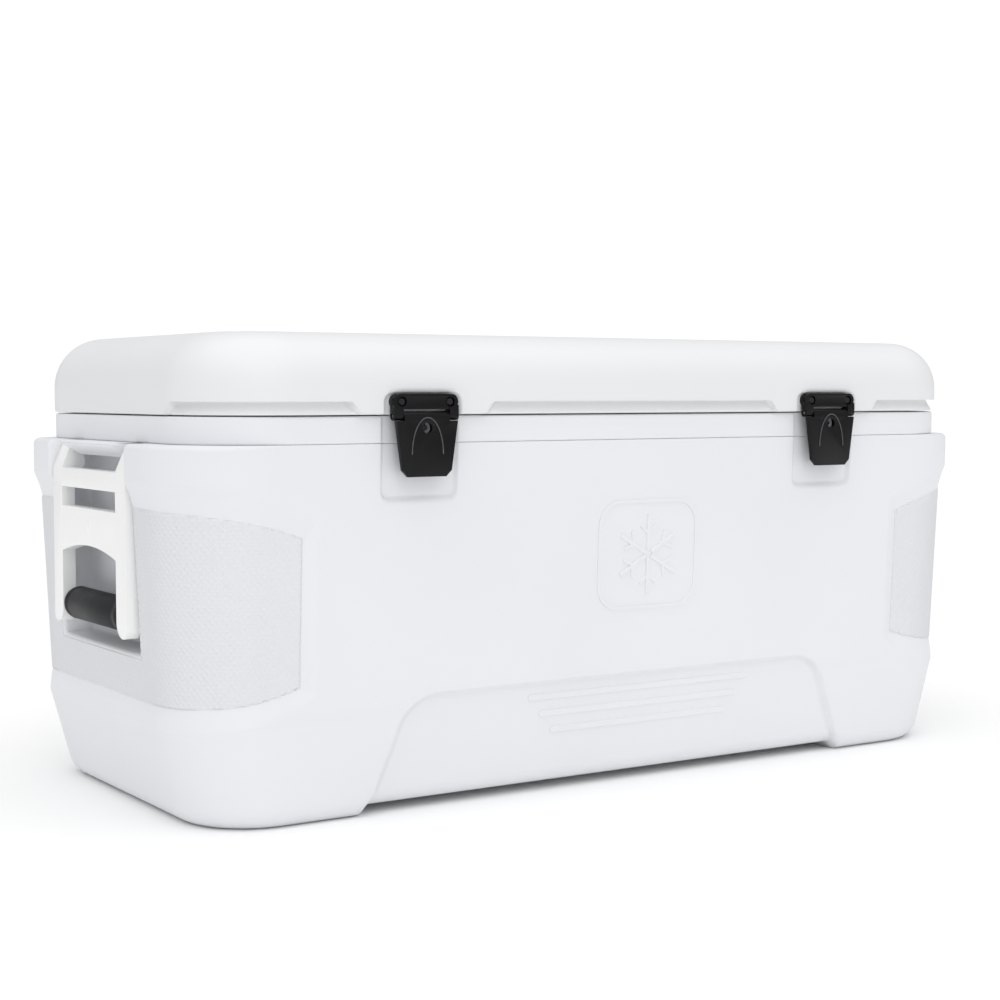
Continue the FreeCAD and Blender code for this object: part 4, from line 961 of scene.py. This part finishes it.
for side, word in SIDES:
    dress(softened(f"latch_lever_{word}", f"lever_{word}", 0.9), nylon,
          f"latch_lever_{word}", "latch_black", f"latch_lever_{word}")
    dress(softened(f"latch_base_{word}", f"base_{word}", 0.8), nylon,
          "lid", "latch_black", f"latch_base_{word}")
    dress(softened(f"handle_frame_{word}", f"handle_{word}", 2.0, 3), handle_white,
          f"handle_{word}", "handle_white", f"handle_frame_{word}")
    dress(build_grip(word), rubber, f"handle_{word}", "grip_rubber", f"handle_grip_{word}")
    dress(build_icon(side, word), handle_white, f"handle_{word}", "handle_white")
    # the bow is black nylon; its grey finish is a painted highlight along its raised ridge
    dress(build_bow(word, side), rubbed_and_painted_highlight, f"latch_lever_{word}", "latch_black")
for word in ("left", "centre", "right"):
    dress(softened(f"hinge_lower_{word}", f"lower_leaf_{word}", 0.5), nylon,
          "tub", "hinge_black", f"hinge_lower_{word}")
    dress(softened(f"hinge_upper_{word}", f"upper_leaf_{word}", 0.5), nylon,
          "lid", "hinge_black", f"hinge_upper_{word}")

SLOT_FINISH = {"shell_white": white, "lid_white": lid_white, "liner_white": liner_white,
               "foam": foam, "latch_black": nylon, "hinge_black": nylon, "grip_rubber": rubber,
               "stainless": steel, "screw_black": black_steel, "handle_white": handle_white,
               "drain_white": handle_white, "seal_rubber": seal}
for part in frame["record"]["subparts"]:
    node = frame["nodes"][part["node"]]
    node.data.materials.clear()
    node.data.materials.append(SLOT_FINISH[part["material_slot"]])


# ---------------------------------------------------------------- studio

def build_floor():
    mesh = bmesh.new()
    bmesh.ops.create_grid(mesh, x_segments=1, y_segments=1, size=14.0)
    floor = finish_mesh("studio_floor", mesh, smooth=False)
    material, _, shader, _ = new_finish("paper_sweep_white", "#FFFFFF", 0.9)
    shader.inputs["Specular IOR Level"].default_value = 0.0
    floor.data.materials.append(material)
    return floor


def soft_light(name, source, strength, spread):
    """A broad softbox, the same all over the floor; source is the way to it."""
    lamp = bpy.data.lights.new(name, "SUN")
    lamp.energy = strength
    lamp.angle = math.radians(spread)
    thing = bpy.data.objects.new(name, lamp)
    thing.rotation_euler = (-Vector(source)).to_track_quat("-Z", "Y").to_euler()
    bpy.context.scene.collection.objects.link(thing)


def build_world():
    """A bright room: pure white to look at, dimmer as a light so that the mouldings keep shape."""
    world = bpy.data.worlds.new("studio")
    bpy.context.scene.world = world
    world.use_nodes = True
    tree = world.node_tree
    tree.nodes.clear()
    rays = add(tree, "ShaderNodeLightPath")
    glow = add(tree, "ShaderNodeBackground")
    glow.inputs["Strength"].default_value = 0.52
    backdrop = add(tree, "ShaderNodeBackground")
    backdrop.inputs["Strength"].default_value = 1.05
    for sky in (glow, backdrop):
        sky.inputs["Color"].default_value = (1, 1, 1, 1)
    mixed = add(tree, "ShaderNodeMixShader", [("Fac", rays, "Is Camera Ray")])
    tree.links.new(glow.outputs[0], mixed.inputs[1])
    tree.links.new(backdrop.outputs[0], mixed.inputs[2])
    add(tree, "ShaderNodeOutputWorld", [("Surface", mixed, "Shader")])


def build_camera():
    camera = bpy.data.cameras.new("camera")
    camera.lens, camera.sensor_width = 66.5, 36.0
    camera.clip_end = 100.0
    thing = bpy.data.objects.new("camera", camera)
    thing.location = (-1.1101, -1.6787, 0.3928)
    thing.rotation_euler = (math.radians(90 - 3.35), 0.0, math.radians(-33.03))
    bpy.context.scene.collection.objects.link(thing)
    bpy.context.scene.camera = thing


build_floor()
soft_light("softbox", (-0.10, -0.22, 0.97), 1.6, 90)
soft_light("fill", (-0.38, -1.0, 0.3), 0.3, 50)
build_world()
build_camera()
bpy.context.scene.view_settings.view_transform = "Standard"
